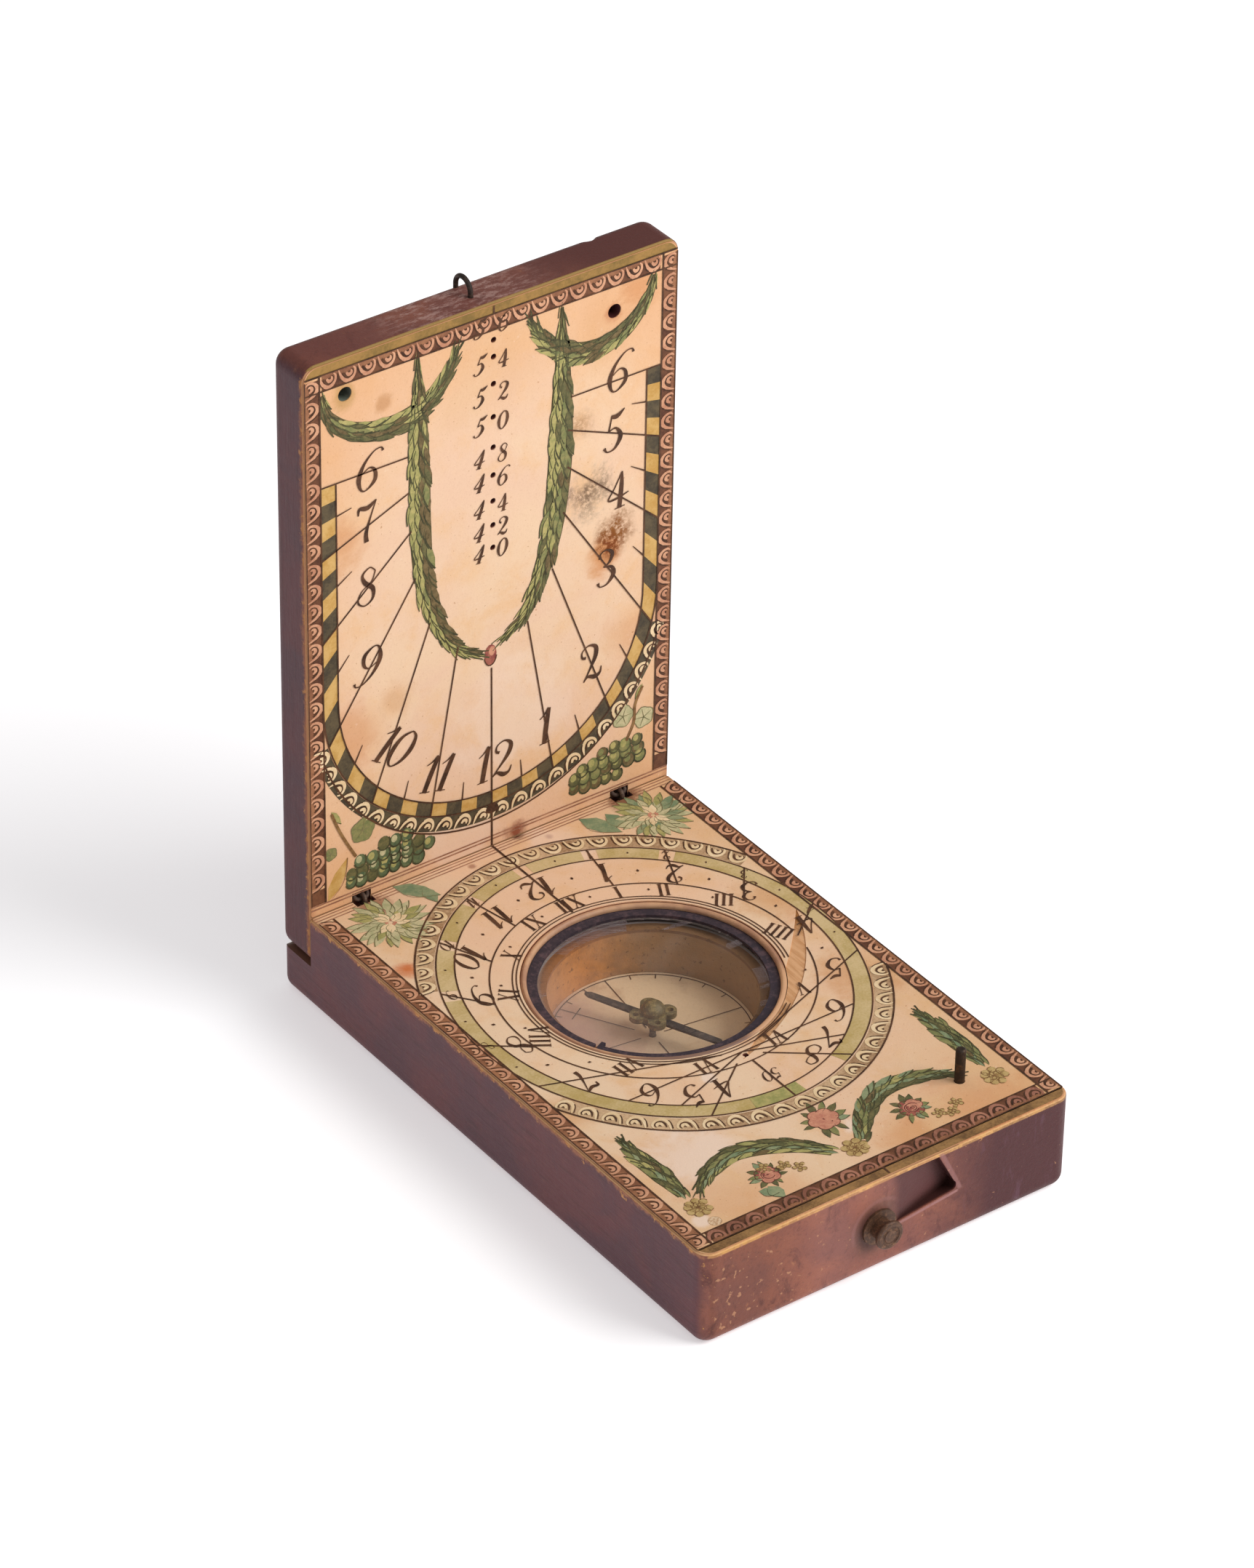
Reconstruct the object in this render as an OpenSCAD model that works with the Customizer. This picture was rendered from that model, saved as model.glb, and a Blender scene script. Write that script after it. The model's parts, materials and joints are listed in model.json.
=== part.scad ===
// Folding pocket sundial in two wooden leaves, with printed paper dials and a compass.
// The base lies flat and the lid stands upright in a step cut across the base's rear end.
// Millimetres. The origin is the middle of the underside, +X runs to the right,
// +Y to the lid and +Z up.

/* [Leaves] */
// Width of both leaves
leaf_w = 68; // [62:0.5:84]
// Length of the base's top face, from the hinge line to the front
base_top_l = 100.8; // [90:0.1:130]
// Thickness of the base's wood
base_t = 16.7; // [15:0.1:24]
// How much further the base's top face reaches than the closed lid
lid_short = 3.1; // [0:0.1:5]
// Thickness of the lid's wood
lid_t = 8.1; // [7:0.1:12]
// Length of the lid's end that stands in the rear step
tongue_l = 8.9; // [6:0.1:11]
// Rounding of the upright corners
corner_r = 2.5; // [1.2:0.1:3]
// Rounding of the outer edges
edge_r = 2.1; // [1:0.1:2.4]
// Rounding of the edges beside the paper
paper_edge_r = 0.35; // [0.1:0.05:0.6]
// Distance of the chip in the lid's upper back edge from the middle
chip_x = 22.5; // [18:0.5:26]
// Width of the chip
chip_w = 3; // [2:0.1:4]
// Depth of the chip
chip_depth = 0.45; // [0.2:0.05:0.6]
// Thickness of the printed paper
paper_t = 0.15; // [0.1:0.05:0.3]
// Gap between each paper and the hinge's axis
hinge_gap = 0.15; // [0.1:0.05:0.4]
// Gap under the lid's end
stop_gap = 0.1; // [0.05:0.05:0.3]

/* [Compass] */
// Distance from the string's foot to the middle of the compass
well_from_foot = 23.1; // [21.8:0.1:28]
// Radius of the compass well
well_r = 16.2; // [14:0.1:19]
// Depth of the well below the paper
well_depth = 10.8; // [9.5:0.1:12.5]
// Width of the ledge that the glass lies on
ledge_w = 3; // [2:0.1:3.5]
// Thickness of the glass
glass_t = 1.2; // [0.8:0.1:1.6]
// Width of the ring that holds the glass
ring_w = 1.6; // [1:0.1:1.8]
// Thickness of the ring that holds the glass
ring_t = 0.5; // [0.3:0.05:0.8]
// Depth of the ring's top below the paper
ring_depth = 0.8; // [0.6:0.05:1.2]
// Width of the turned bead round the glass
bead_w = 1; // [0.7:0.05:1.6]
// Height of the turned bead
bead_h = 0.75; // [0.5:0.05:1]
// Direction of the ring's split, from the right towards the lid
split_angle = 206; // [0:1:359]
// Gap round pieces that lie in a bore
seat_gap = 0.05; // [0.02:0.01:0.1]
// Thickness of the compass card
card_t = 0.2; // [0.1:0.05:0.4]

/* [Needle] */
// Length of the needle
needle_l = 24; // [18:0.5:28]
// Width of the needle at its middle
needle_w = 1.5; // [1:0.1:2]
// Width of the needle at its ends
needle_end_w = 1.1; // [0.6:0.1:1.5]
// Thickness of the needle
needle_t = 0.4; // [0.2:0.05:0.6]
// Depth of the needle's top below the paper
needle_depth = 7.1; // [6.6:0.1:7.6]
// Turn of the needle from the meridian towards the left
needle_turn = 23.4; // [0:0.1:359]
// Radius of the cap's dome
cap_r = 1.9; // [1.6:0.1:2.2]
// Height of the cap above the needle
cap_h = 2.9; // [2.2:0.1:3.2]
// Radius of each of the cap's lobes
lobe_r = 1.4; // [1.2:0.05:1.6]
// Distance from the pivot to the middle of each lobe
lobe_reach = 2.3; // [2:0.05:2.6]
// Thickness of the lobes
lobe_t = 0.9; // [0.6:0.05:1.2]
// Number of lobes
lobe_count = 4; // [3:1:6]
// Radius of the pivot's pin
pivot_r = 0.5; // [0.4:0.05:0.6]

/* [Hinge wires] */
// Distance from the side to each hinge
hinge_inset = 9.6; // [6:0.1:16]
// Diameter of the hinge wire
wire_d = 0.7; // [0.5:0.05:0.8]
// Gap between the lid's wire and the base's eye
eye_gap = 0.1; // [0.05:0.01:0.1]
// Distance between the two legs of the lid's staple
staple_w = 2.4; // [2.2:0.1:3]
// Length of the wires inside the wood
wire_l = 6; // [4:0.5:8]
// Gap round the eyes in the pockets of the leaves
pocket_gap = 0.2; // [0.15:0.05:0.4]

/* [Pegs and string holes] */
// Radius of the locating peg
peg_r = 0.8; // [0.6:0.05:1]
// Height of the peg above the paper
peg_h = 6; // [4:0.1:6.5]
// Distance from the right side to the peg
peg_inset = 11.9; // [7:0.1:16]
// Distance from the front to the peg
peg_from_front = 12.1; // [8:0.1:17]
// Depth of the peg in the wood
peg_root = 6; // [4:0.5:8]
// Radius of the lid's holes for pegs
peg_hole_r = 1.2; // [1.15:0.05:1.6]
// Depth of the lid's holes for pegs
peg_hole_depth = 6.8; // [6.6:0.1:6.8]
// Distance from the left side to the lid's left hole
left_hole_inset = 7.5; // [6:0.1:14]
// Distance from the lid's end to its left hole
left_hole_from_end = 6.5; // [5:0.1:14]
// Radius of the plug at the left front
plug_r = 1; // [0.6:0.05:1.4]
// Distance from the left side to the plug
plug_inset = 6.5; // [6:0.1:14]
// Distance from the front to the plug
plug_from_front = 6.2; // [5:0.1:16]
// Length of the plug
plug_l = 5; // [3:0.5:8]
// Distance from the front to the foot of the string
foot_from_front = 35.4; // [28:0.1:36]
// Radius of the string holes
string_r = 0.5; // [0.3:0.05:0.7]
// Lowest latitude with a hole
low_latitude = 40; // [38:2:42]
// Highest latitude whose hole follows the dial's geometry
high_latitude = 52; // [48:2:52]
// Distance from the lid's end to the uppermost string hole
top_hole_from_end = 6.4; // [5:0.1:8]
// Distance between the two uppermost string holes
top_hole_pitch = 2.9; // [2:0.1:4]

/* [Front and lid end] */
// Distance from the middle to the stud, to the left
stud_x = 2.1; // [0:0.1:6]
// Distance from the paper down to the middle of the stud
stud_drop = 8.5; // [7:0.1:10]
// Radius of the stud's head
stud_r = 2.4; // [2:0.1:3]
// How much further the stud's foot reaches than its head
stud_foot = 0.6; // [0.2:0.1:0.8]
// Reach of the stud in front of the wood
stud_h = 3; // [2.4:0.1:4]
// Radius of the stud's shank
stud_shank_r = 0.9; // [0.6:0.05:1.2]
// Length of the stud's shank in the wood
stud_root = 6; // [4:0.5:8]
// Right end of the thumb recess at its top
recess_top_x = 8.8; // [7:0.1:12]
// Right end of the thumb recess at its bottom
recess_end_x = 12.3; // [10:0.1:16]
// Left end of the thumb recess, where it runs out
recess_start_x = -0.6; // [-3:0.1:2]
// Depth of the recess at its right end
recess_depth = 2.1; // [1:0.1:3]
// Height of the recess below the paper at its right end
recess_drop = 8.1; // [6:0.1:10]
// Further drop of the recess's lower edge at its left end
recess_slope = 1.6; // [0:0.1:2]
// Wood left above the recess
recess_lip = 0.5; // [0.3:0.1:1]
// Rounding of the recess's lower corner
recess_r = 0.9; // [0.3:0.1:1.5]
// Distance from the middle to the lid's eye, to the left
eye_x = 1.9; // [0:0.1:6]
// Distance between the legs of the lid's eye
eye_w = 3.8; // [3:0.1:4.4]
// Height of the lid's eye above the wood
eye_h = 2.9; // [2.6:0.1:4]
// Diameter of the eye's wire
eye_d = 0.8; // [0.6:0.05:1]
// Wood between the eye's rear leg and the lid's back
eye_wall = 1.2; // [1:0.1:1.4]
// Length of the eye's legs inside the wood
eye_root = 5; // [3:0.5:8]

/* [Torn paper] */
// Right end of the tear, from the middle
tear_right_x = 28.7; // [26:0.1:30]
// Right end of the tear, from the middle of the compass towards the hinge
tear_right_y = 2.2; // [-2:0.1:6]
// Left end of the tear, to the left of the middle
tear_left_x = 1; // [0:0.1:4]
// Left end of the tear, from the middle of the compass towards the front
tear_left_y = 23.8; // [22.5:0.1:26]
// Bulge of the tear's outer side
tear_bulge = 4.7; // [3.5:0.1:6]
// Bulge of the tear's inner side
tear_inner_bulge = 1.6; // [0.5:0.1:2.5]

/* [Hidden] */
$fn = 64;
eps = 0.01;
// The lid's outer face stands over the base's rear end
step_l = hinge_gap + paper_t + lid_t;
base_l = base_top_l + step_l;
lid_h = base_top_l - lid_short;
front_y = -base_l / 2;
hinge_y = base_l / 2 - step_l;
foot_y = front_y + foot_from_front;
well_y = foot_y + well_from_foot;
paper_z = base_t + paper_t;
hinge_z = paper_z + hinge_gap;
step_z = hinge_z - tongue_l - stop_gap;
seat_r = well_r + ledge_w;
bead_r = seat_r + bead_w;
glass_z = paper_z - ring_depth - ring_t;
ledge_z = glass_z - glass_t;
floor_z = paper_z - well_depth;
needle_z = paper_z - needle_depth;
// Height of the pivot's point, and the hollow of the cap that rides on it
point_z = needle_z + cap_h - 0.75;
point_gap = 0.1;
cap_bore_r = pivot_r + 0.25;
cap_tube_r = cap_bore_r + 0.55;
wire_r = wire_d / 2;
eye_r = wire_r + eye_gap + wire_r;
pocket_r = eye_r + wire_r + pocket_gap;
pocket_w = staple_w + wire_d + 2 * pocket_gap;
hinge_x = leaf_w / 2 - hinge_inset;
peg_x = leaf_w / 2 - peg_inset;
peg_from_hinge = base_top_l - peg_from_front;
plug_x = leaf_w / 2 - plug_inset;
left_hole_x = leaf_w / 2 - left_hole_inset;
top_hole_z = lid_h - top_hole_from_end;
// Every second degree of latitude has its hole at the foot's distance times its tangent
latitude_z = concat([for (latitude = [low_latitude:2:high_latitude]) (hinge_y - foot_y) * tan(latitude)],
                    [top_hole_z - top_hole_pitch, top_hole_z]);

// Rectangle from [0, 0] with its own rounding at each corner, from the lower left anticlockwise
module rounded_plate(size, r) {
    corners = [[0, 0, 0], [size[0], 0, 90], [size[0], size[1], 180], [0, size[1], 270]];
    difference() {
        square(size);
        for (i = [0:3]) translate([corners[i][0], corners[i][1]]) rotate(corners[i][2]) difference() {
            translate([-eps, -eps]) square(r[i] + eps);
            translate([r[i], r[i]]) circle(r[i]);
        }
    }
}

// Block with upright corners of radius r, whose lower and upper edges are rounded all the way round
module rounded_block(size, r, low_r, high_r) {
    edges = [low_r, low_r, high_r, high_r];
    union() {
        translate([r, 0, 0]) rotate([90, 0, 90]) linear_extrude(size[0] - 2 * r)
            rounded_plate([size[1], size[2]], edges);
        translate([0, size[1] - r, 0]) rotate([90, 0, 0]) linear_extrude(size[1] - 2 * r)
            rounded_plate([size[0], size[2]], edges);
        for (x = [r, size[0] - r], y = [r, size[1] - r])
            translate([x, y, 0]) rotate(x == r ? (y == r ? 180 : 90) : (y == r ? 270 : 0))
                rotate_extrude(angle = 90) intersection() {
                    translate([-r, 0]) rounded_plate([2 * r, size[2]], edges);
                    square([r, size[2]]);
                }
    }
}

// Puts a piece of the lid, drawn from the hinge's axis, in its open place
module on_hinge() {
    translate([0, hinge_y, hinge_z]) children();
}

module pocket(x) {
    on_hinge() translate([x - pocket_w / 2, 0, 0]) rotate([0, 90, 0]) cylinder(r = pocket_r, h = pocket_w);
}

// Crescent between two arcs through the same two ends, bulging to the right of the way from a to b
module crescent(a, b, outer, inner) {
    way = b - a;
    chord = norm(way);
    side = [way[1], -way[0]] / chord;
    difference() {
        arc_disc(a, side, way, chord, outer);
        arc_disc(a, side, way, chord, inner);
    }
}

module arc_disc(a, side, way, chord, bulge) {
    r = (chord * chord / 4 + bulge * bulge) / (2 * bulge);
    translate(a + way / 2 + side * (bulge - r)) circle(r);
}

module base_leaf() {
    color([0.36, 0.24, 0.25]) difference() {
        translate([-leaf_w / 2, front_y, 0])
            rounded_block([leaf_w, base_l, base_t], corner_r, edge_r, paper_edge_r);
        rear_step();
        compass_well();
        thumb_recess();
        for (x = [-hinge_x, hinge_x]) {
            pocket(x);
            eye_shank(x, wire_r * 1.3 + seat_gap, wire_l + seat_gap);
        }
        translate([peg_x, front_y + peg_from_front, base_t - peg_root])
            cylinder(r = peg_r + seat_gap, h = peg_root + 1);
        translate([-plug_x, front_y + plug_from_front, base_t - plug_l])
            cylinder(r = plug_r + seat_gap, h = plug_l + 1);
        translate([0, foot_y, -1]) cylinder(r = string_r, h = base_t + 2);
        translate([-stud_x, front_y, paper_z - stud_drop]) rotate([-90, 0, 0])
            translate([0, 0, -1]) cylinder(r = stud_shank_r + seat_gap, h = stud_root + 1 + seat_gap);
    }
}

// The step that the lid's end stands in, with a rounded rear edge
module rear_step() {
    translate([-leaf_w, hinge_y, step_z]) cube([2 * leaf_w, step_l + 1, base_t]);
    translate([-leaf_w, base_l / 2 - edge_r, step_z - edge_r]) difference() {
        cube([2 * leaf_w, edge_r + 1, edge_r + 1]);
        translate([-1, 0, 0]) rotate([0, 90, 0]) cylinder(r = edge_r, h = 2 * leaf_w + 2);
    }
}

module compass_well() {
    translate([0, well_y, 0]) {
        translate([0, 0, floor_z]) cylinder(r = well_r, h = base_t);
        translate([0, 0, ledge_z]) cylinder(r = seat_r, h = base_t);
        translate([0, 0, paper_z - bead_h]) cylinder(r = bead_r + seat_gap, h = base_t);
        translate([0, 0, floor_z - pivot_root()]) cylinder(r = pivot_r + seat_gap, h = base_t);
    }
}

function pivot_root() = 3;

// Wedge-shaped thumb recess in the front, which runs out towards the stud
module thumb_recess() {
    end_y = recess_depth / (recess_end_x - recess_start_x);
    intersection() {
        translate([0, front_y, 0]) linear_extrude(base_t) polygon([
            [recess_start_x - 1, -end_y], [recess_end_x + 1, recess_depth + end_y], [recess_end_x + 1, -1],
            [recess_start_x - 1, -1]]);
        translate([0, front_y + 10, 0]) rotate([90, 0, 0]) linear_extrude(20) recess_outline();
    }
}

module recess_outline() {
    top = base_t - recess_lip;
    low = paper_z - recess_drop;
    corner = [recess_end_x - recess_r, low + recess_r];
    union() {
        polygon([[recess_start_x - 1, top], [recess_top_x, top], [recess_end_x, low + recess_r],
            corner, [recess_end_x - recess_r, low], [recess_start_x - 1, low - recess_slope]]);
        translate(corner) circle(recess_r);
    }
}

module horizontal_dial_paper() {
    w = leaf_w - 2 * paper_edge_r;
    l = base_top_l - paper_edge_r;
    color([0.91, 0.74, 0.58]) difference() {
        translate([-w / 2, front_y + paper_edge_r, base_t]) linear_extrude(paper_t)
            rounded_plate([w, l], [corner_r - paper_edge_r, corner_r - paper_edge_r, paper_edge_r, paper_edge_r]);
        translate([0, well_y, base_t - 1]) cylinder(r = bead_r + 2 * seat_gap, h = 3);
        translate([0, foot_y, base_t - 1]) cylinder(r = string_r, h = 3);
        translate([peg_x, front_y + peg_from_front, base_t - 1]) cylinder(r = peg_r + seat_gap, h = 3);
        translate([-plug_x, front_y + plug_from_front, base_t - 1]) cylinder(r = plug_r + seat_gap, h = 3);
        for (x = [-hinge_x, hinge_x]) pocket(x);
        translate([0, well_y, base_t - 1]) linear_extrude(3) crescent(
            [-tear_left_x, -tear_left_y], [tear_right_x, tear_right_y], tear_bulge, tear_inner_bulge);
    }
}

// Bead turned to a half round, let into the wood round the glass
module well_bead() {
    round_r = bead_w / 2;
    color([0.80, 0.58, 0.40]) translate([0, well_y, paper_z - bead_h]) rotate_extrude() {
        translate([seat_r, 0]) square([bead_w, bead_h - round_r]);
        intersection() {
            translate([seat_r + round_r, bead_h - round_r]) circle(round_r);
            translate([seat_r, bead_h - round_r - eps]) square([bead_w, bead_w]);
        }
    }
}

// Flat split ring, with one end turned inwards
module glass_ring() {
    outer_r = seat_r - seat_gap;
    inner_r = seat_r - ring_w;
    color([0.24, 0.20, 0.25]) translate([0, well_y, glass_z]) rotate(split_angle) {
        difference() {
            cylinder(r = outer_r, h = ring_t);
            translate([0, 0, -1]) cylinder(r = inner_r, h = ring_t + 2);
            translate([inner_r - 1, -0.5, -1]) cube([ring_w + 2, 0.5, ring_t + 2]);
        }
        translate([inner_r - 0.9, 0, 0]) cube([ring_w / 2 + 0.9, 0.7, ring_t]);
    }
}

module compass_glass() {
    color([0.75, 0.85, 0.85, 0.4]) translate([0, well_y, ledge_z])
        cylinder(r = seat_r - 2 * seat_gap, h = glass_t);
}

module compass_card() {
    color([0.85, 0.75, 0.66]) translate([0, well_y, floor_z]) difference() {
        cylinder(r = well_r - 2 * seat_gap, h = card_t);
        translate([0, 0, -1]) cylinder(r = pivot_r + 2 * seat_gap, h = card_t + 2);
    }
}

// Pin driven into the floor of the well, ground to a point
module compass_pivot() {
    shoulder = point_z - 2;
    color("gray") translate([0, well_y, 0]) rotate_extrude() polygon([
        [0, floor_z - pivot_root()], [pivot_r, floor_z - pivot_root()], [pivot_r, shoulder],
        [0, point_z]]);
}

// Steel bar, widest at the eye that the cap fills
module compass_needle() {
    half = needle_l / 2;
    color([0.28, 0.27, 0.28]) translate([0, well_y, needle_z - needle_t]) rotate(needle_turn)
        linear_extrude(needle_t) difference() {
            union() {
                circle(cap_tube_r + 0.75);
                polygon([
                    [-needle_end_w / 2, -half + 0.3], [-needle_end_w / 2 + 0.3, -half],
                    [needle_end_w / 2 - 0.3, -half], [needle_end_w / 2, -half + 0.3],
                    [needle_w / 2, 0],
                    [needle_end_w / 2, half - 0.8], [0.15, half], [-0.15, half],
                    [-needle_end_w / 2, half - 0.8], [-needle_w / 2, 0]]);
            }
            circle(cap_tube_r + seat_gap);
        }
}

// Brass bearing cap: a tube through the needle, a pierced lobed plate and a dome
module needle_cap() {
    tube_drop = needle_t + 0.3;
    hollow_z = point_z + point_gap - needle_z;
    color([0.55, 0.50, 0.28]) translate([0, well_y, needle_z]) rotate(needle_turn) difference() {
        union() {
            translate([0, 0, -tube_drop]) cylinder(r = cap_tube_r, h = tube_drop + lobe_t);
            for (i = [0:lobe_count - 1]) rotate((i + 0.5) * 360 / lobe_count)
                translate([lobe_reach, 0, 0]) cylinder(r = lobe_r, h = lobe_t);
            translate([0, 0, lobe_t - eps]) intersection() {
                cylinder(r = cap_r, h = cap_h - lobe_t);
                translate([0, 0, cap_h - lobe_t - dome_r()]) sphere(dome_r());
            }
            cylinder(r = cap_r + 0.3, h = lobe_t);
        }
        for (i = [0:lobe_count - 1]) rotate((i + 0.5) * 360 / lobe_count)
            translate([lobe_reach + 0.45, 0, -1]) cylinder(r = lobe_r * 0.34, h = lobe_t + 2);
        translate([0, 0, -tube_drop - 1]) cylinder(r = cap_bore_r, h = tube_drop + 1);
        rotate_extrude() polygon([[0, -eps], [cap_bore_r, -eps], [cap_bore_r, 0], [0, hollow_z]]);
    }
}

function dome_r() = let (rise = cap_h - lobe_t - 0.6) (cap_r * cap_r + rise * rise) / (2 * rise);

// Iron peg with a rounded tip
module locating_peg() {
    top = paper_z + peg_h;
    color([0.25, 0.22, 0.22]) translate([peg_x, front_y + peg_from_front, 0]) rotate_extrude() {
        translate([0, base_t - peg_root]) square([peg_r, peg_root + paper_t + peg_h - 0.4]);
        translate([0, top - 0.4 - eps]) square([peg_r - 0.4, 0.4 + eps]);
        intersection() {
            translate([peg_r - 0.4, top - 0.4]) circle(0.4);
            translate([0, top - 0.4 - eps]) square(peg_r);
        }
    }
}

module peg_plug() {
    color([0.90, 0.80, 0.68]) translate([-plug_x, front_y + plug_from_front, base_t - plug_l])
        cylinder(r = plug_r, h = plug_l + paper_t);
}

// Turned brass stud: foot, waist and a head with a ring round a raised boss
module latch_stud() {
    foot_r = stud_r + stud_foot;
    foot_h = 0.4;
    waist_r = stud_r - 0.7;
    head_h = 0.9;
    color([0.50, 0.45, 0.28]) translate([-stud_x, front_y, paper_z - stud_drop]) rotate([90, 0, 0]) {
        translate([0, 0, -stud_root]) cylinder(r = stud_shank_r, h = stud_root + eps);
        rotate_extrude() difference() {
            union() {
                square([foot_r, foot_h]);
                square([waist_r, stud_h]);
                translate([0, stud_h - head_h]) square([stud_r - 0.3, head_h]);
                translate([stud_r - 0.45, stud_h - head_h / 2]) circle(head_h / 2);
            }
            translate([stud_r * 0.56, stud_h + 0.1]) circle(0.32);
        }
    }
}

// Wire eye round the hinge's axis, with its legs driven into the base at 45 degrees
module hinge_eye(x) {
    color([0.20, 0.17, 0.17]) union() {
        on_hinge() translate([x, 0, 0]) rotate([0, 90, 0]) rotate_extrude()
            translate([eye_r, 0]) circle(wire_r);
        eye_shank(x, wire_r * 1.3, wire_l);
    }
}

module eye_shank(x, r, l) {
    on_hinge() translate([x, 0, 0]) rotate([135, 0, 0]) translate([0, 0, eye_r]) cylinder(r = r, h = l);
}

module hinge_eye_left() hinge_eye(-hinge_x);

module hinge_eye_right() hinge_eye(hinge_x);

// Staple of the lid: a pin through the base's eye and two legs driven in at 45 degrees
module hinge_staple(x) {
    bend_r = wire_r * 2;
    pin_half = staple_w / 2 - bend_r;
    color([0.20, 0.17, 0.17]) on_hinge() translate([x, 0, 0]) rotate([-45, 0, 0]) {
        translate([-pin_half, 0, 0]) rotate([0, 90, 0]) cylinder(r = wire_r, h = 2 * pin_half);
        for (side = [0, 180]) rotate(side) {
            translate([pin_half, 0, bend_r]) rotate([90, 0, 0]) rotate(-90) rotate_extrude(angle = 90)
                translate([bend_r, 0]) circle(wire_r);
            translate([staple_w / 2, 0, bend_r]) cylinder(r = wire_r, h = wire_l);
        }
    }
}

module staple_holes(x) {
    translate([x, 0, 0]) rotate([-45, 0, 0]) for (side = [-1, 1])
        translate([side * staple_w / 2, 0, 0]) cylinder(r = wire_r + seat_gap, h = wire_d + wire_l + seat_gap);
}

module hinge_staple_left() hinge_staple(-hinge_x);

module hinge_staple_right() hinge_staple(hinge_x);

module lid_leaf() {
    face = hinge_gap + paper_t;
    color([0.35, 0.24, 0.26]) difference() {
        on_hinge() translate([-leaf_w / 2, face + lid_t, -tongue_l]) rotate([90, 0, 0])
            rounded_block([leaf_w, lid_h + tongue_l, lid_t], corner_r, edge_r, paper_edge_r);
        on_hinge() {
            for (z = latitude_z) translate([0, 0, z]) rotate([-90, 0, 0])
                cylinder(r = string_r, h = face + lid_t + 1);
            face_hole(peg_x, peg_from_hinge, peg_hole_depth);
            face_hole(-left_hole_x, lid_h - left_hole_from_end, peg_hole_depth);
            for (x = [-hinge_x, hinge_x]) staple_holes(x);
            for (y = eye_legs_y()) translate([-eye_x, y, lid_h - eye_root - seat_gap])
                cylinder(r = eye_d / 2 + seat_gap, h = eye_root + 1);
            translate([chip_x, face + lid_t, lid_h]) chip();
        }
        for (x = [-hinge_x, hinge_x]) pocket(x);
    }
}

// Round cutter across a rounded edge, square to its middle
module chip() {
    r = (chip_w * chip_w / 4 + chip_depth * chip_depth) / (2 * chip_depth);
    reach = (r - chip_depth) * sqrt(0.5) - edge_r * (1 - sqrt(0.5));
    translate([0, reach, reach]) rotate([45, 0, 0]) cylinder(r = r, h = 3 * edge_r, center = true);
}

function eye_legs_y() = let (rear = hinge_gap + paper_t + lid_t - eye_wall) [rear - eye_w, rear];

// Hole from the lid's face, at a distance across and up from the hinge line
module face_hole(x, z, depth) {
    translate([x, 0, z]) rotate([-90, 0, 0])
        cylinder(r = peg_hole_r, h = hinge_gap + paper_t + depth);
}

module vertical_dial_paper() {
    w = leaf_w - 2 * paper_edge_r;
    l = lid_h - paper_edge_r;
    color([0.90, 0.73, 0.57]) difference() {
        on_hinge() translate([-w / 2, hinge_gap + paper_t, 0]) rotate([90, 0, 0]) linear_extrude(paper_t)
            rounded_plate([w, l], [paper_edge_r, paper_edge_r, corner_r - paper_edge_r, corner_r - paper_edge_r]);
        on_hinge() {
            for (z = latitude_z) translate([0, -1, z]) rotate([-90, 0, 0]) cylinder(r = string_r, h = 3);
            face_hole(peg_x, peg_from_hinge, 1);
            face_hole(-left_hole_x, lid_h - left_hole_from_end, 1);
        }
        for (x = [-hinge_x, hinge_x]) pocket(x);
    }
}

// Round-topped wire eye across the lid's end, for the hook
module lid_eye() {
    r = eye_d / 2;
    arch_r = eye_w / 2;
    leg_h = eye_h - arch_r - r;
    middle_y = (eye_legs_y()[0] + eye_legs_y()[1]) / 2;
    color([0.20, 0.17, 0.17]) on_hinge() translate([-eye_x, middle_y, lid_h]) {
        for (side = [-1, 1]) translate([0, side * arch_r, -eye_root]) cylinder(r = r, h = eye_root + leg_h);
        translate([0, 0, leg_h]) rotate([90, 0, 90]) rotate_extrude(angle = 180)
            translate([arch_r, 0]) circle(r);
    }
}

base_leaf();
horizontal_dial_paper();
well_bead();
glass_ring();
compass_glass();
compass_card();
compass_pivot();
compass_needle();
needle_cap();
locating_peg();
peg_plug();
latch_stud();
hinge_eye_left();
hinge_eye_right();
lid_leaf();
vertical_dial_paper();
hinge_staple_left();
hinge_staple_right();
lid_eye();
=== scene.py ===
"""Looks of a folding pocket sundial: worn painted wood, hand-coloured print and a glazed compass."""

import json
import math
import random
from functools import cached_property

import bpy
from mathutils import Matrix, Vector


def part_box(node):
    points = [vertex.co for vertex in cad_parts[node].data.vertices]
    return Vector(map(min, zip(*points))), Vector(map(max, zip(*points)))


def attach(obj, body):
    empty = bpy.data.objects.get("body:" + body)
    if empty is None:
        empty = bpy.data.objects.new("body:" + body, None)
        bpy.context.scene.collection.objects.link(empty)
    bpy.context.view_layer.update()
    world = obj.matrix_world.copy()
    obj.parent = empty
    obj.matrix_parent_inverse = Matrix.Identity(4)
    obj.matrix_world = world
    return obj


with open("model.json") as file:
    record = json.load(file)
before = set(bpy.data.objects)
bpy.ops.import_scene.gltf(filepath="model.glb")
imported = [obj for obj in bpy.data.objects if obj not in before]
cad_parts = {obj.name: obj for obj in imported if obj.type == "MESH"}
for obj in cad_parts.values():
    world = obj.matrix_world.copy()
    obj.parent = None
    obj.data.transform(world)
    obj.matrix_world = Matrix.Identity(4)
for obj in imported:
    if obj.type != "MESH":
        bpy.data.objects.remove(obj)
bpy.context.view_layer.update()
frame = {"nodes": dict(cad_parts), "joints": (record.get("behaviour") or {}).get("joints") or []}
MM = 0.001


def box_mm(node):
    """Lowest and highest corner of a CAD node, in millimetres."""
    low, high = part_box(node)
    return low / MM, high / MM


def added(name, data):
    """A new object in the scene."""
    held = bpy.data.objects.new(name, data)
    bpy.context.scene.collection.objects.link(held)
    return held


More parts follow.
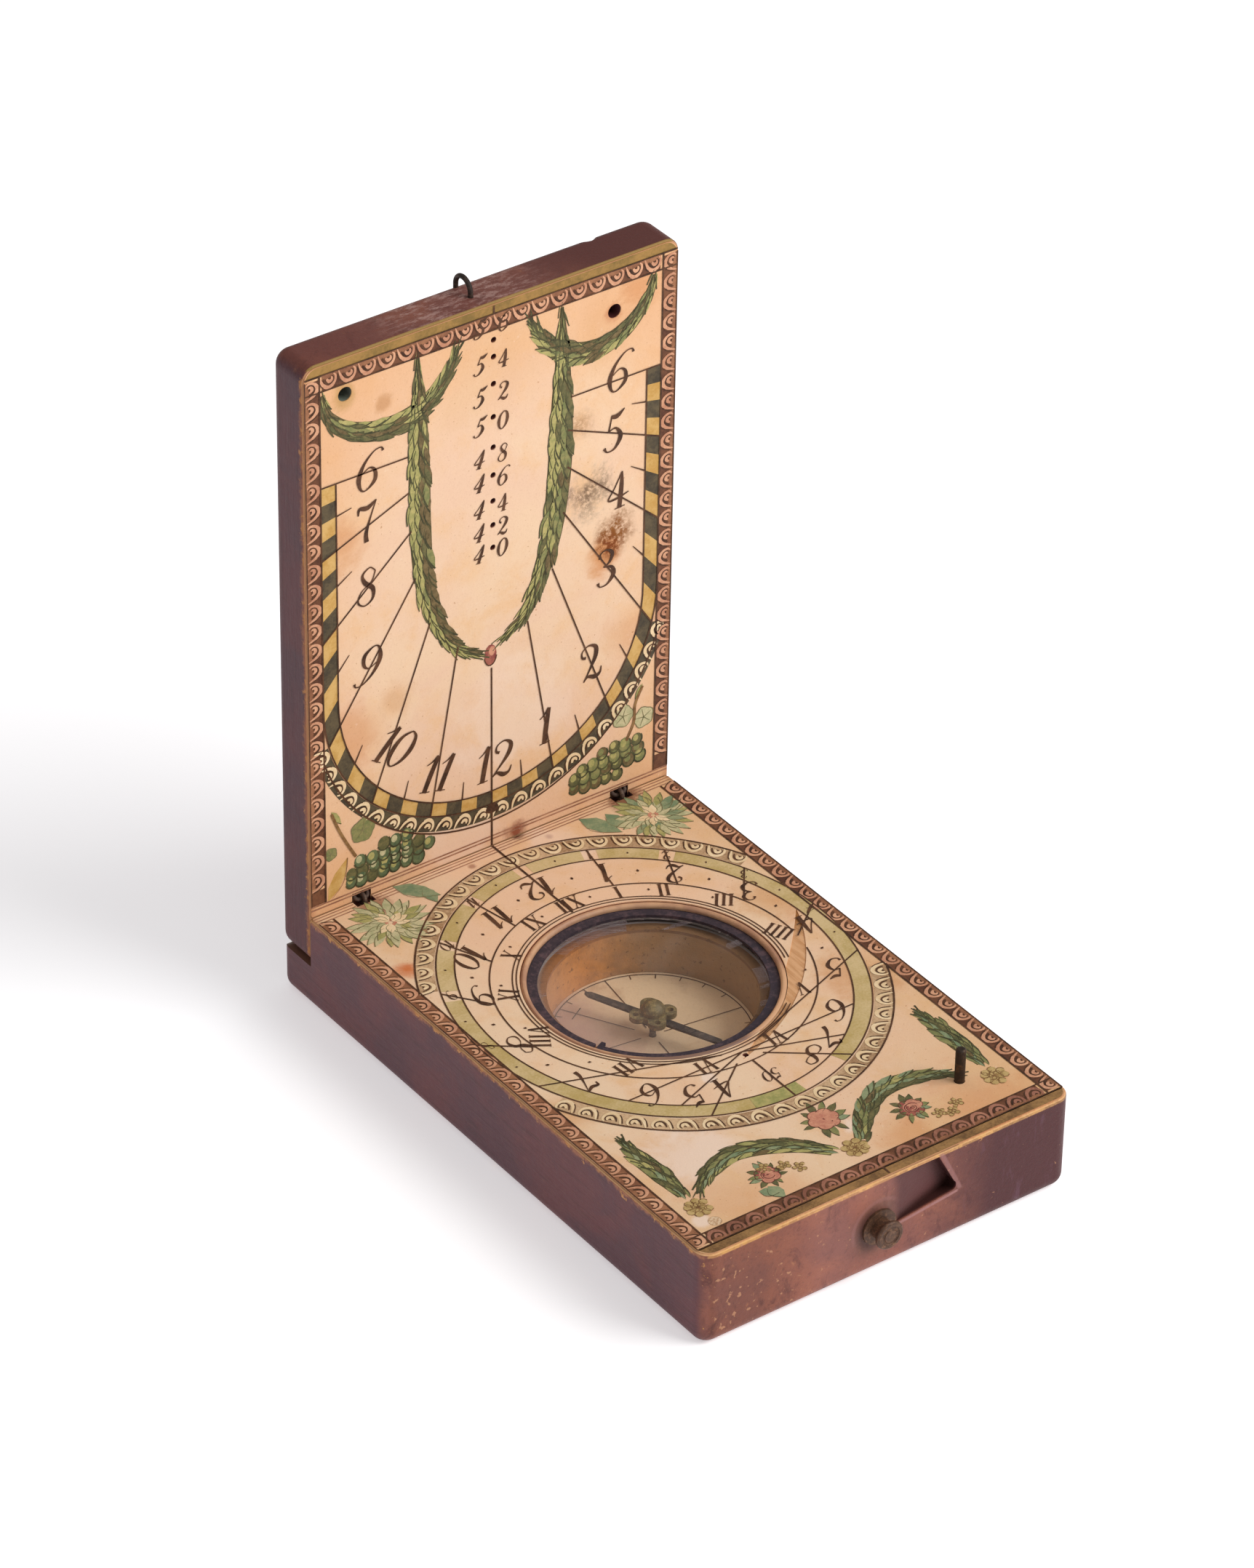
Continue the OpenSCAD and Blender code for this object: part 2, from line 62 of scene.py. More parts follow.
BASE_LOW, BASE_HIGH = box_mm("base_leaf")
LID_LOW, LID_HIGH = box_mm("lid_leaf")
BEAD_LOW, BEAD_HIGH = box_mm("well_bead")
CARD_LOW, CARD_HIGH = box_mm("compass_card")
HALF_W = BASE_HIGH.x
PAPER_Z = box_mm("horizontal_dial_paper")[1].z
FACE_Y = box_mm("vertical_dial_paper")[0].y
HINGE = Vector(frame["joints"][0]["pos_m"]) / MM
WELL_Y = (BEAD_LOW.y + BEAD_HIGH.y) / 2
FRONT_Y = BASE_LOW.y


# Printed artwork, drawn flat in millimetres

# Each mark lies a little above the last one, and after so many marks the heights start again
LIFT = 0.0008
LIFTS = 25
# Widths of the printed lines
HAIR = 0.22
FINE = 0.24
THIN = 0.26
RULE = 0.3


class Print:
    """Flat artwork on one face: points and faces in millimetres, kept by ink."""

    def __init__(self):
        self.inks = {}
        self.marks = 0

    def add(self, ink, points, faces):
        held, shown = self.inks.setdefault(ink, ([], []))
        first = len(held)
        lift = self.marks % LIFTS * LIFT
        self.marks += 1
        held.extend((float(x), float(y), lift) for x, y in points)
        shown.extend([first + i for i in face] for face in faces)

    def fill(self, ink, outline):
        self.add(ink, outline, [range(len(outline))])

    def strip(self, ink, one_side, other_side):
        """The area between two lines of equally many points."""
        n = len(one_side)
        faces = [(i, i + 1, n + i + 1, n + i) for i in range(n - 1)]
        self.add(ink, list(one_side) + list(other_side), faces)

    def line(self, ink, points, width):
        """A ribbon along points; width is one number, or one for each point."""
        n = len(points)
        widths = [width] * n if isinstance(width, (int, float)) else width
        left, right = [], []
        for i, (x, y) in enumerate(points):
            ax, ay = points[max(i - 1, 0)]
            bx, by = points[min(i + 1, n - 1)]
            length = math.hypot(bx - ax, by - ay) or 1.0
            across = widths[i] / 2 / length
            left.append((x - (by - ay) * across, y + (bx - ax) * across))
            right.append((x + (by - ay) * across, y - (bx - ax) * across))
        self.strip(ink, left, right)

    def disc(self, ink, centre, r, ry=None, sides=14):
        self.fill(ink, arc(centre, r, ry or r, 0, 360 - 360 / sides, 360 / sides))

    def box(self, ink, x0, y0, x1, y1):
        self.fill(ink, [(x0, y0), (x1, y0), (x1, y1), (x0, y1)])


def polar(r, degrees, centre=(0.0, 0.0), ry=None):
    a = math.radians(degrees)
    return centre[0] + r * math.cos(a), centre[1] + (ry or r) * math.sin(a)


def arc(centre, rx, ry, start, end, step=4.0):
    """Points on an ellipse from one angle to another, in degrees."""
    count = max(1, round(abs(end - start) / step))
    return [polar(rx, start + (end - start) * i / count, centre, ry) for i in range(count + 1)]


def smooth(points, steps=5):
    """A curve through points of any dimension."""
    curve = []
    for i in range(len(points) - 1):
        p0, p1 = points[max(i - 1, 0)], points[i]
        p2, p3 = points[i + 1], points[min(i + 2, len(points) - 1)]
        for j in range(steps):
            t = j / steps
            curve.append(tuple(
                0.5 * (2 * b + (c - a) * t + (2 * a - 5 * b + 4 * c - d) * t * t
                       + (3 * b - a - 3 * c + d) * t ** 3)
                for a, b, c, d in zip(p0, p1, p2, p3)))
    return curve + [tuple(points[-1])]


def turned(points, centre, degrees, size=1.0):
    """Points turned and scaled about the origin, then moved to centre."""
    c, s = math.cos(math.radians(degrees)) * size, math.sin(math.radians(degrees)) * size
    return [(centre[0] + c * x - s * y, centre[1] + s * x + c * y) for x, y in points]


def serif(start, end, up=0.02, pen=0.04):
    """A numeral's thin flat end."""
    return [(start, up, pen), (end, up, pen)]


# Each numeral: pen strokes of points (across, up, pen width), with a height of one
NUMERALS = {
    "0": [[(0.3, 1, 0.04), (0.1, 0.8, 0.09), (0.03, 0.45, 0.14), (0.1, 0.12, 0.09), (0.26, 0, 0.04),
           (0.46, 0.2, 0.09), (0.54, 0.55, 0.14), (0.47, 0.88, 0.09), (0.3, 1, 0.04)]],
    "1": [[(0.04, 0.76, 0.03), (0.16, 0.84, 0.04), (0.3, 1, 0.08)],
          [(0.3, 1, 0.12), (0.24, 0.5, 0.15), (0.2, 0, 0.14)], serif(0.06, 0.36, pen=0.03)],
    "2": [[(0.18, 0.7, 0.09), (0.08, 0.76, 0.07), (0.1, 0.92, 0.04), (0.3, 1, 0.05), (0.5, 0.86, 0.12),
           (0.46, 0.6, 0.13), (0.24, 0.3, 0.06), (0.02, 0.05, 0.03)],
          [(0.02, 0.05, 0.04), (0.16, 0.14, 0.08), (0.36, 0.03, 0.14), (0.52, 0.06, 0.07),
           (0.58, 0.22, 0.03)]],
    "3": [[(0.1, 0.82, 0.1), (0.12, 0.96, 0.04), (0.3, 1, 0.05), (0.46, 0.84, 0.12), (0.38, 0.62, 0.07),
           (0.2, 0.55, 0.03)],
          [(0.2, 0.55, 0.03), (0.44, 0.46, 0.09), (0.5, 0.24, 0.14), (0.32, 0.03, 0.06), (0.1, 0.03, 0.04),
           (0.04, 0.16, 0.1)]],
    "4": [[(0.4, 1, 0.04), (0.2, 0.62, 0.04), (0.02, 0.33, 0.05), (0.3, 0.3, 0.07), (0.62, 0.36, 0.03)],
          [(0.4, 1, 0.05), (0.4, 0.6, 0.13), (0.36, 0, 0.13)], serif(0.22, 0.52, pen=0.03)],
    "5": [[(0.2, 0.98, 0.04), (0.14, 0.56, 0.05)],
          [(0.18, 0.95, 0.1), (0.36, 0.92, 0.14), (0.56, 1.06, 0.03)],
          [(0.14, 0.56, 0.03), (0.34, 0.6, 0.06), (0.5, 0.34, 0.14), (0.36, 0.05, 0.07), (0.14, 0.01, 0.04),
           (0.04, 0.14, 0.1)]],
    "6": [[(0.66, 0.92, 0.08), (0.6, 1.02, 0.04), (0.4, 0.98, 0.04), (0.16, 0.72, 0.08), (0.04, 0.36, 0.14),
           (0.12, 0.06, 0.07), (0.28, 0, 0.04), (0.5, 0.2, 0.11), (0.48, 0.46, 0.1), (0.32, 0.58, 0.04),
           (0.12, 0.46, 0.03)]],
    "7": [[(0.06, 0.82, 0.04), (0.12, 0.98, 0.1), (0.34, 0.9, 0.14), (0.6, 1, 0.04)],
          [(0.6, 1, 0.03), (0.38, 0.6, 0.05), (0.22, 0.25, 0.11), (0.2, 0, 0.14)]],
    "8": [[(0.5, 0.86, 0.04), (0.34, 1, 0.04), (0.14, 0.86, 0.07), (0.22, 0.62, 0.13), (0.44, 0.4, 0.13),
           (0.44, 0.12, 0.07), (0.22, 0, 0.04), (0.03, 0.16, 0.06), (0.12, 0.42, 0.03), (0.4, 0.6, 0.03),
           (0.5, 0.86, 0.04)]],
    "I": [[(0.12, 1, 0.13), (0.12, 0, 0.13)], serif(0, 0.24, 0.98), serif(0, 0.24)],
    "V": [[(0.06, 1, 0.13), (0.26, 0, 0.11)], [(0.5, 1, 0.04), (0.27, 0, 0.04)],
          serif(-0.02, 0.16, 0.98), serif(0.4, 0.58, 0.98)],
    "X": [[(0.08, 1, 0.13), (0.48, 0, 0.13)], [(0.48, 1, 0.04), (0.06, 0, 0.04)],
          serif(0, 0.2, 0.98), serif(0.38, 0.58, 0.98), serif(-0.02, 0.16), serif(0.38, 0.58)],
}
NUMERAL_WIDTH = 0.56
NUMERALS["9"] = [[(NUMERAL_WIDTH - x, 1 - y, pen) for x, y, pen in stroke] for stroke in NUMERALS["6"]]
OTHER_WIDTHS = {"1": 0.36, "I": 0.26, "X": 0.58}
NUMERAL_GAP = 0.1


def number(art, text, centre, height, turn=0.0, slant=0.14, weight=1.0):
    """Numerals with their middle at centre, turned anticlockwise by turn degrees."""
    widths = [OTHER_WIDTHS.get(c, NUMERAL_WIDTH) for c in text]
    start = -(sum(widths) + NUMERAL_GAP * (len(text) - 1)) / 2
    for c, width in zip(text, widths):
        for stroke in NUMERALS[c]:
            curve = smooth(stroke)
            points = [(start + x + slant * (y - 0.5), y - 0.5) for x, y, _ in curve]
            pens = [pen * height * weight for _, _, pen in curve]
            art.line("ink", turned(points, centre, turn, height), pens)
        start += width + NUMERAL_GAP


def along(points, spacing):
    """(point, direction in degrees, share of the way) at even spacing on a line."""
    lengths = [math.dist(a, b) for a, b in zip(points, points[1:])]
    total, count = sum(lengths), max(1, round(sum(lengths) / spacing))
    found, passed, i = [], 0.0, 0
    for k in range(count):
        goal = total * (k + 0.5) / count
        while passed + lengths[i] < goal:
            passed += lengths[i]
            i += 1
        (ax, ay), (bx, by) = points[i], points[i + 1]
        t = (goal - passed) / lengths[i]
        found.append(((ax + (bx - ax) * t, ay + (by - ay) * t), math.degrees(math.atan2(by - ay, bx - ax)),
                      goal / total))
    return found


LEAF = [(0, 0), (0.3, 0.42), (0.62, 0.4), (1, 0), (0.62, -0.4), (0.3, -0.42)]
LEAF_EDGE = [(0.1, -0.2), (0.4, -0.5), (0.7, -0.36), (1, 0)]


def leaf(art, ink, root, degrees, length, width, edge=0.11, line="leaf_line"):
    """One pointed leaf from its root, with an inked edge below it."""
    art.fill(ink, turned([(x * length, y * width) for x, y in LEAF], root, degrees))
    lower = smooth([(x * length, y * width) for x, y in LEAF_EDGE], 3)
    pens = [edge * (0.4 + i / len(lower)) for i in range(len(lower))]
    art.line(line, turned(lower, root, degrees), pens)


def garland(art, path, widths, dice, length, lanes):
    """Leaves laid like tiles along a path, in lanes of one main ink each.

    widths are the garland's half widths at even shares of the path.
    """
    curve = smooth(path, 8)
    pitch = length * 0.42

    def half_width(share):
        place = share * (len(widths) - 1)
        i = min(int(place), len(widths) - 2)
        return widths[i] + (widths[i + 1] - widths[i]) * (place - i)

    stations = [(point, way, half_width(share) * 0.9) for point, way, share in along(curve, 0.7)]
    art.strip("leaf_under", *([turned([(0, side * reach)], point, way)[0] for point, way, reach in stations]
                              for side in (1, -1)))
    for row, (point, way, share) in enumerate(along(curve, pitch)):
        half = half_width(share)
        for lane, ink in enumerate(lanes):
            across = ((lane + 0.5) / len(lanes) * 2 - 1) * half * 0.82
            stagger = (row + lane) % 2 * 0.5 - 0.25
            splay = across / max(half, 0.3) * 15 + dice.uniform(-7, 7)
            root = turned([(stagger * pitch - length * 0.3, across * 0.8)], point, way)[0]
            if dice.random() < 0.28:
                ink = dice.choice(("leaf_dark", "leaf", "leaf_light", "leaf_brown"))
            size = (0.55 + 0.45 * min(1, half / max(widths))) * dice.uniform(0.8, 1.15)
            leaf(art, ink, root, way + splay, length * size, min(1.5, half * 2.3 / len(lanes)) * size,
                 edge=dice.uniform(0.1, 0.24))


# One running scroll: points (along, share of the band's depth, pen width)
SCROLL_CREST = smooth([(-1.75, 0.99, 0.16), (-1.4, 0.62, 0.4), (-0.95, 0.32, 0.58), (-0.2, 0.14, 0.64),
                       (0.55, 0.22, 0.6), (1.08, 0.5, 0.5), (1.14, 0.78, 0.34), (0.8, 0.93, 0.16)], 3)
SCROLL_CURL = smooth([(-0.42, 0.7, 0.34), (0.0, 0.5, 0.6), (0.5, 0.58, 0.5), (0.46, 0.78, 0.24)], 3)
SCROLL_SHADE = smooth([(-1.0, 0.76, 0.16), (-0.62, 0.48, 0.28), (0.0, 0.34, 0.22), (0.62, 0.42, 0.22),
                       (0.86, 0.66, 0.18), (0.5, 0.84, 0.1)], 3)
SCROLL_OUTLINE = [(x - 0.3, y - 0.06, 0.17) for x, y, _ in SCROLL_CREST[1:8]]
SCROLL_EYE = [(-0.2, 0.72, 0.08), (0.06, 0.66, 0.26), (0.26, 0.74, 0.1)]
SCROLL_DEPTH = 2.65


def scroll_band(art, path, inward, pitch=3.5, depth=SCROLL_DEPTH, pale="scroll_pale", ground="scroll_dark"):
    """Running scroll on a band: path is the band's inner edge, and inward is 1 if it lies to its left."""
    stations = along(path, 1.0)
    lines = [[turned([(0, inward * depth * share)], point, way)[0] for point, way, _ in stations]
             for share in (0, 0.7, 1)]
    art.strip(ground, lines[0], lines[2])
    if ground == "scroll_dark":
        art.strip("scroll_mid", lines[1], lines[2])
    for point, way, _ in along(path, pitch):
        for ink, marks in ((pale, SCROLL_CREST), (pale, SCROLL_CURL), ("ink", SCROLL_SHADE),
                           ("ink", SCROLL_OUTLINE), ("ink", SCROLL_EYE)):
            points = turned([(x, inward * y * depth) for x, y, _ in marks], point, way)
            art.line(ink, points, [pen for _, _, pen in marks])


def rose(art, centre, r, dice):
    """A small full rose: petals in a ring, then curled petals that turn inwards, each with a dark edge."""
    for i in range(6):
        spot = polar(0.5 * r, 60 * i + dice.uniform(-12, 12), centre)
        art.disc(dice.choice(("rose", "petal")), spot, 0.46 * r, 0.42 * r, sides=11)
        art.line("rose_dark", arc(spot, 0.46 * r, 0.42 * r, 60 * i - 70, 60 * i + 70, 20), 0.12)
    art.disc("rose", centre, 0.6 * r, sides=14)
    for k in range(4):
        start = 110 * k + dice.uniform(0, 40)
        curl = arc(centre, (0.56 - 0.14 * k) * r, (0.52 - 0.13 * k) * r, start, start + 190, 20)
        art.line("petal", curl, 0.09 * r)
        art.line("rose_dark", [(x + 0.05 * r, y - 0.08 * r) for x, y in curl], 0.14)


def rosette(art, centre, r, dice, petals):
    """A yellow flower of small round petals, each outlined."""
    for reach, count, size in ((0.66, petals, 0.3), (0.3, max(3, petals - 2), 0.24)):
        for i in range(count):
            spot = polar(reach * r, 360 / count * i + dice.uniform(0, 30), centre)
            art.disc("yellow", spot, size * r, sides=9)
            art.line("umber", arc(spot, size * r, size * r, 60 * i, 60 * i + 260, 40), 0.12)
    art.disc("umber", centre, 0.12 * r, sides=8)


# Both dials: the latitude that the hour lines fit, a side border's inner and outer line, and the print's edge

LATITUDE = math.radians(49.5)
BORDER = 31.0
BORDER_OUT = 33.55
EDGE = HALF_W - 0.35


def strip_corner(x, y, start):
    """The round corner of a printed strip."""
    return arc((x, y), 2.2, 2.2, start, start + 78, 12)


def ellipse_reach(dx, dy, drop, rx, ry):
    """How far a ray runs to an ellipse, from a point that lies drop above its centre."""
    a = (dx / rx) ** 2 + (dy / ry) ** 2
    b = 2 * drop * dy / ry ** 2
    c = (drop / ry) ** 2 - 1
    return (-b + math.sqrt(b * b - 4 * a * c)) / (2 * a)


# The lid's dial: across from the middle and up from the hinge line

LID_FACTOR = math.cos(LATITUDE)
# The hour lines start from here, and the dial's two lines are straight down to their arcs' centre
LID_NODE_Z = 76.45
ARC_Z = 37.2
# Half width and depth of the arc of each line
LID_INNER = (28.3, 26.9)
LID_OUTER = (BORDER, 29.3)
LID_TOP_LINE = 95.7
# Parts of a quarter-hour block's curved edge
RAY_STEPS = 3


def hour_ray(hours, factor):
    """Direction of an hour line from the meridian, in radians, for a dial whose tangents shrink by factor."""
    if abs(hours) == 6:
        return math.copysign(math.pi / 2, hours)
    return math.atan(factor * math.tan(math.radians(15 * hours)))


def lid_hit(angle, rx, ry):
    """Where the lid's ray meets a boundary with straight sides and a curved foot."""
    dx, dz = math.sin(angle), -math.cos(angle)
    if abs(dx) > 1e-9:
        reach = rx / abs(dx)
        if LID_NODE_Z + dz * reach >= ARC_Z:
            return dx * reach, LID_NODE_Z + dz * reach
    reach = ellipse_reach(dx, dz, LID_NODE_Z - ARC_Z, rx, ry)
    return dx * reach, LID_NODE_Z + dz * reach


def lid_blocks(art):
    """Quarter-hour blocks in two colours between the dial's inner and outer lines."""
    for i in range(48):
        angles = [hour_ray(-6 + (i + j / RAY_STEPS) / 4, LID_FACTOR) for j in range(RAY_STEPS + 1)]
        ink = "slate" if i % 2 else "gold"
        art.strip(ink, [lid_hit(a, *LID_INNER) for a in angles], [lid_hit(a, *LID_OUTER) for a in angles])
    rays = [hour_ray(-6 + i / 8, LID_FACTOR) for i in range(97)]
    for shape in (LID_INNER, LID_OUTER):
        art.line("ink", [lid_hit(a, *shape) for a in rays], THIN)


def lid_hour_lines(art):
    """Long lines on the hours, each from its own distance from the string's hole, and ticks between them."""
    starts = {-6: 15.5, -5: 16.6, -4: 19.9, -3: 26.0, -2: 32.8, -1: 37.6, 1: 37.8, 2: 31.4, 3: 23.8, 4: 18.3,
              5: 14.8, 6: 14.2}
    for hours, start in starts.items():
        angle = hour_ray(hours, LID_FACTOR)
        dx, dz = math.sin(angle), -math.cos(angle)
        art.line("ink", [(dx * start, LID_NODE_Z + dz * start), lid_hit(angle, *LID_OUTER)], THIN)
    art.line("ink", [(-0.2, 33.2), (0, 0)], [0.28, 0.34])
    for i in range(12):
        angle = hour_ray(-5.5 + i, LID_FACTOR)
        x, z = lid_hit(angle, *LID_INNER)
        dx, dz = math.sin(angle), -math.cos(angle)
        length = 3.2 if abs(-5.5 + i) < 5 else 2.8
        art.line("ink", [(x, z), (x - dx * length, z - dz * length)], [0.28, 0.14])


def lid_numerals(art):
    spots = [("6", -22.6, 76.6, 0), ("7", -22.8, 67.6, 12), ("8", -22.9, 56.4, 4), ("9", -22.4, 42.2, -6),
             ("10", -18.0, 25.6, -34), ("11", -10.4, 17.6, -14), ("12", 0.4, 15.6, 0), ("1", 9.8, 18.4, 4),
             ("2", 18.4, 27.0, 14), ("3", 21.2, 43.4, 6), ("4", 23.1, 56.6, 4), ("5", 22.2, 67.4, 2),
             ("6", 23.0, 77.8, 0)]
    for text, x, z, turn in spots:
        number(art, text, (x, z), 6.4, turn, slant=0.1, weight=0.92)
    rows = [("56", 93.9), ("54", 87.6), ("52", 82.0), ("50", 76.9), ("48", 71.2), ("46", 67.0), ("44", 62.3),
            ("42", 58.2), ("40", 54.4)]
    for text, z in rows:
        number(art, text[0], (-2.5, z + 0.1), 3.1, slant=0.3, weight=1.2)
        number(art, text[1], (1.75, z), 3.0, slant=0.1, weight=1.2)


def lid_garlands(art, dice):
    left = [(-13.6, 93.2), (-13.5, 84), (-13.4, 72), (-13.2, 62), (-12.2, 52), (-9.4, 43.5), (-5.8, 38.6),
            (-1.6, 36.2)]
    right = [(12.4, 93.0), (12.6, 84), (12.5, 74), (12.2, 64), (11.0, 54), (8.8, 46.5), (6.0, 40.6),
             (1.2, 37.2)]
    garland(art, left, [0.3, 1.4, 2.0, 2.2, 2.2, 2.0, 1.8, 1.3, 0.6], dice, 4.4,
            ("leaf_light", "leaf_light", "leaf_brown", "leaf_brown"))
    garland(art, right, [0.3, 1.3, 2.0, 2.5, 2.5, 2.3, 2.0, 1.4, 0.6], dice, 4.4,
            ("leaf_light", "leaf_light", "leaf", "leaf_dark"))
    crescents = [[(-30.6, 92.6), (-29.5, 88.2), (-25.6, 84.6), (-19.6, 82.8), (-13.6, 83.8), (-9.2, 87.2),
                  (-6.2, 92.8)],
                 [(29.6, 92.9), (28.0, 88.6), (24.0, 84.8), (18.6, 83.2), (13.2, 84.6), (9.0, 88.2),
                  (6.2, 93.0)]]
    for path in crescents:
        garland(art, path, [0.5, 1.3, 1.8, 2.1, 2.0, 1.5, 0.4], dice, 3.8,
                ("leaf_dark", "leaf_brown", "leaf", "leaf_light"))
    bud = ((-0.4, 35.6), 1.15, 1.9)
    art.disc("rose", *bud)
    art.disc("petal", (-0.1, 36.3), 0.6, 0.9)
    art.line("ink", arc(*bud, 190, 350, 20), 0.2)


def grapes(art, centre, rows, lean, inks, dice):
    """A bunch on its side: how many grapes in each row, from the lowest, each lit from its upper left."""
    for row, count in enumerate(rows):
        height = 1.65 * row
        for i in range(count):
            across = (i - (count - 1) / 2) * 2.1 + (row % 2) * 0.7 + lean * height
            spot = (centre[0] + across + dice.uniform(-0.25, 0.25),
                    centre[1] + height - 2.4 + dice.uniform(-0.25, 0.25))
            r = dice.uniform(1.0, 1.2)
            body, light = dice.choice(inks)
            art.disc(body, spot, r, r * 1.12, sides=12)
            art.disc(light, (spot[0] - 0.22, spot[1] + 0.3), r * 0.52, r * 0.62, sides=8)
            art.line("leaf_line", arc(spot, r, r * 1.12, 195, 400, 25), 0.3)


def vine_leaf(art, ink, centre, r, turn):
    shape = []
    for i in range(20):
        reach = r * (1.0 if i % 4 == 0 else 0.86 if i % 2 == 0 else 0.93)
        shape.append(polar(reach, 18 * i + turn, centre))
    art.fill(ink, shape)
    art.line("leaf_soft", shape + shape[:1], 0.14)
    for i in range(0, 20, 4):
        art.line("leaf_soft", [centre, polar(r * 0.8, 18 * i + turn, centre)], [0.16, 0.06])


def lid_corners(art, dice):
    leaf(art, "gold", (-30.6, 1.7), 62, 7.8, 2.6, line="umber")
    grapes(art, (-20.2, 5.9), (7, 8, 6, 3), 0.3,
           (("grape", "sage"), ("grape", "leaf_light"), ("leaf_dark", "sage")), dice)
    grapes(art, (19.9, 6.6), (5, 7, 6, 4), 0.75,
           (("leaf", "leaf_light"), ("leaf_dark", "leaf_light"), ("leaf_brown", "leaf")), dice)
    for x, z, r, turn, ink in ((-24.1, 12.6, 2.3, 10, "leaf"), (-30.0, 10.4, 1.2, 40, "leaf"),
                               (24.9, 14.4, 2.1, 0, "sage"), (28.9, 12.8, 2.0, 30, "sage")):
        vine_leaf(art, ink, (x, z), r, turn)
    for branch in ([(-29.8, 17.8), (-28.6, 14.6), (-27.2, 11.6), (-25.4, 8.2)],
                   [(28.6, 18.8), (27.2, 15.8), (27.0, 12.6), (25.6, 9.6)]):
        art.line("umber", smooth(branch), 0.5)
    leaf(art, "leaf_light", (-29.8, 18.2), -58, 3.4, 1.2)
    leaf(art, "leaf_light", (28.6, 19.2), -120, 2.8, 1.0)


def lid_print():
    """The lid's print from its strip down to its corners; the later marks lie over the earlier ones."""
    art = Print()
    dice = random.Random(11)
    top, low, scroll_low = LID_TOP_LINE, 1.9, 4.6
    art.fill("strip", [(-EDGE, top + 0.2), (EDGE, top + 0.2), *strip_corner(31.3, 95.1, 12),
                       *strip_corner(-31.3, 95.1, 90)])
    scroll_band(art, [(-BORDER, top - SCROLL_DEPTH), (BORDER, top - SCROLL_DEPTH)], 1)
    for way in (-1, 1):
        x, out, rule = way * BORDER, way * BORDER_OUT, way * (BORDER_OUT + 0.05)
        scroll_band(art, [(x, scroll_low), (x, top)], -way, depth=BORDER_OUT - BORDER)
        art.box("scroll_dark", min(x, out), low, max(x, out), scroll_low)
        art.line("ink", [(x, low), (x, top)], RULE)
        art.line("ink", [(rule, low), (rule, 95.4)], HAIR)
    for z, width in ((top - SCROLL_DEPTH, THIN), (top + 0.1, HAIR)):
        art.line("ink", [(-EDGE, z), (EDGE, z)], width)
    for z in (1.75, 1.15):
        art.line("rust", [(-EDGE, z), (EDGE, z)], THIN)
    art.line("ink", [(0, top), (0, 97.2)], RULE)
    lid_blocks(art)
    foot = arc((0, ARC_Z), 32.5, 32.5, 197.5, 342.5, 3)
    inner = arc((0, ARC_Z), 31.2, 29.5, 190, 350, 3)
    scroll_band(art, [p for p in inner if abs(p[0]) < 30.6], -1, pitch=3.4, depth=2.5, pale="scroll_cream",
                ground="slate")
    art.line("ink", [p for p in foot if abs(p[0]) < BORDER], RULE)
    lid_hour_lines(art)
    lid_numerals(art)
    lid_garlands(art, dice)
    lid_corners(art, dice)
    art.disc("ink", (0, 7.0), 1.2, 0.9)
    return art


# The base's dial: across from the middle and up towards the hinge line, which is zero

BASE_FACTOR = math.sin(LATITUDE)
RINGS_Y = WELL_Y - HINGE.y
RINGS_AT = (0, RINGS_Y)
FOOT_Y = -64.6
BASE_FRONT_LINE = -98.65
# Rings round the compass: half widths across and along, and for the dots also their half length
ROMAN_RING = (24.8, 24.8)
ARABIC_RING = (28.75, 32.6)
OLIVE_RING = (31.6, 35.4)
RIM_RING = (34.7, 38.8)
DOT_RINGS = ((23.1, 23.1, 0.32), (26.8, 28.7, 0.36), (30.2, 34.0, 0.26))
BEAD_RINGS = (20.75, 21.35)
# The olive ring is left bare for so many degrees on both sides of an hour's number
OLIVE_GAP = 2.2
# The rules beside the hinge stop on both sides of its wires
WIRE_LOW, WIRE_HIGH = box_mm("hinge_staple_right")
WIRE_FROM, WIRE_TO = WIRE_LOW.x - 0.4, WIRE_HIGH.x + 0.4


def ring_hit(angle, rx, ry):
    """Where a ray from the string's foot meets a ring; the angle is from the meridian."""
    dx, dy = math.sin(angle), math.cos(angle)
    reach = ellipse_reach(dx, dy, FOOT_Y - RINGS_Y, rx, ry)
    return dx * reach, FOOT_Y + dy * reach


def base_ray(hours):
    """Direction of an hour line of the base, in radians from the meridian, also beyond six hours."""
    if abs(hours) <= 6:
        return hour_ray(hours, BASE_FACTOR)
    return math.copysign(math.pi, hours) + hour_ray(hours - math.copysign(12, hours), BASE_FACTOR)


def ring_angle(hours):
    """Where an hour line crosses the olive ring, as the ellipse's own angle in degrees."""
    rx, ry = ((a + b) / 2 for a, b in zip(ARABIC_RING, OLIVE_RING))
    x, y = ring_hit(base_ray(hours), rx, ry)
    return math.degrees(math.atan2((y - RINGS_Y) / ry, x / rx)) % 360


def olive_part(art, ink, start, end):
    art.strip(ink, arc(RINGS_AT, *ARABIC_RING, start, end, 3), arc(RINGS_AT, *OLIVE_RING, start, end, 3))


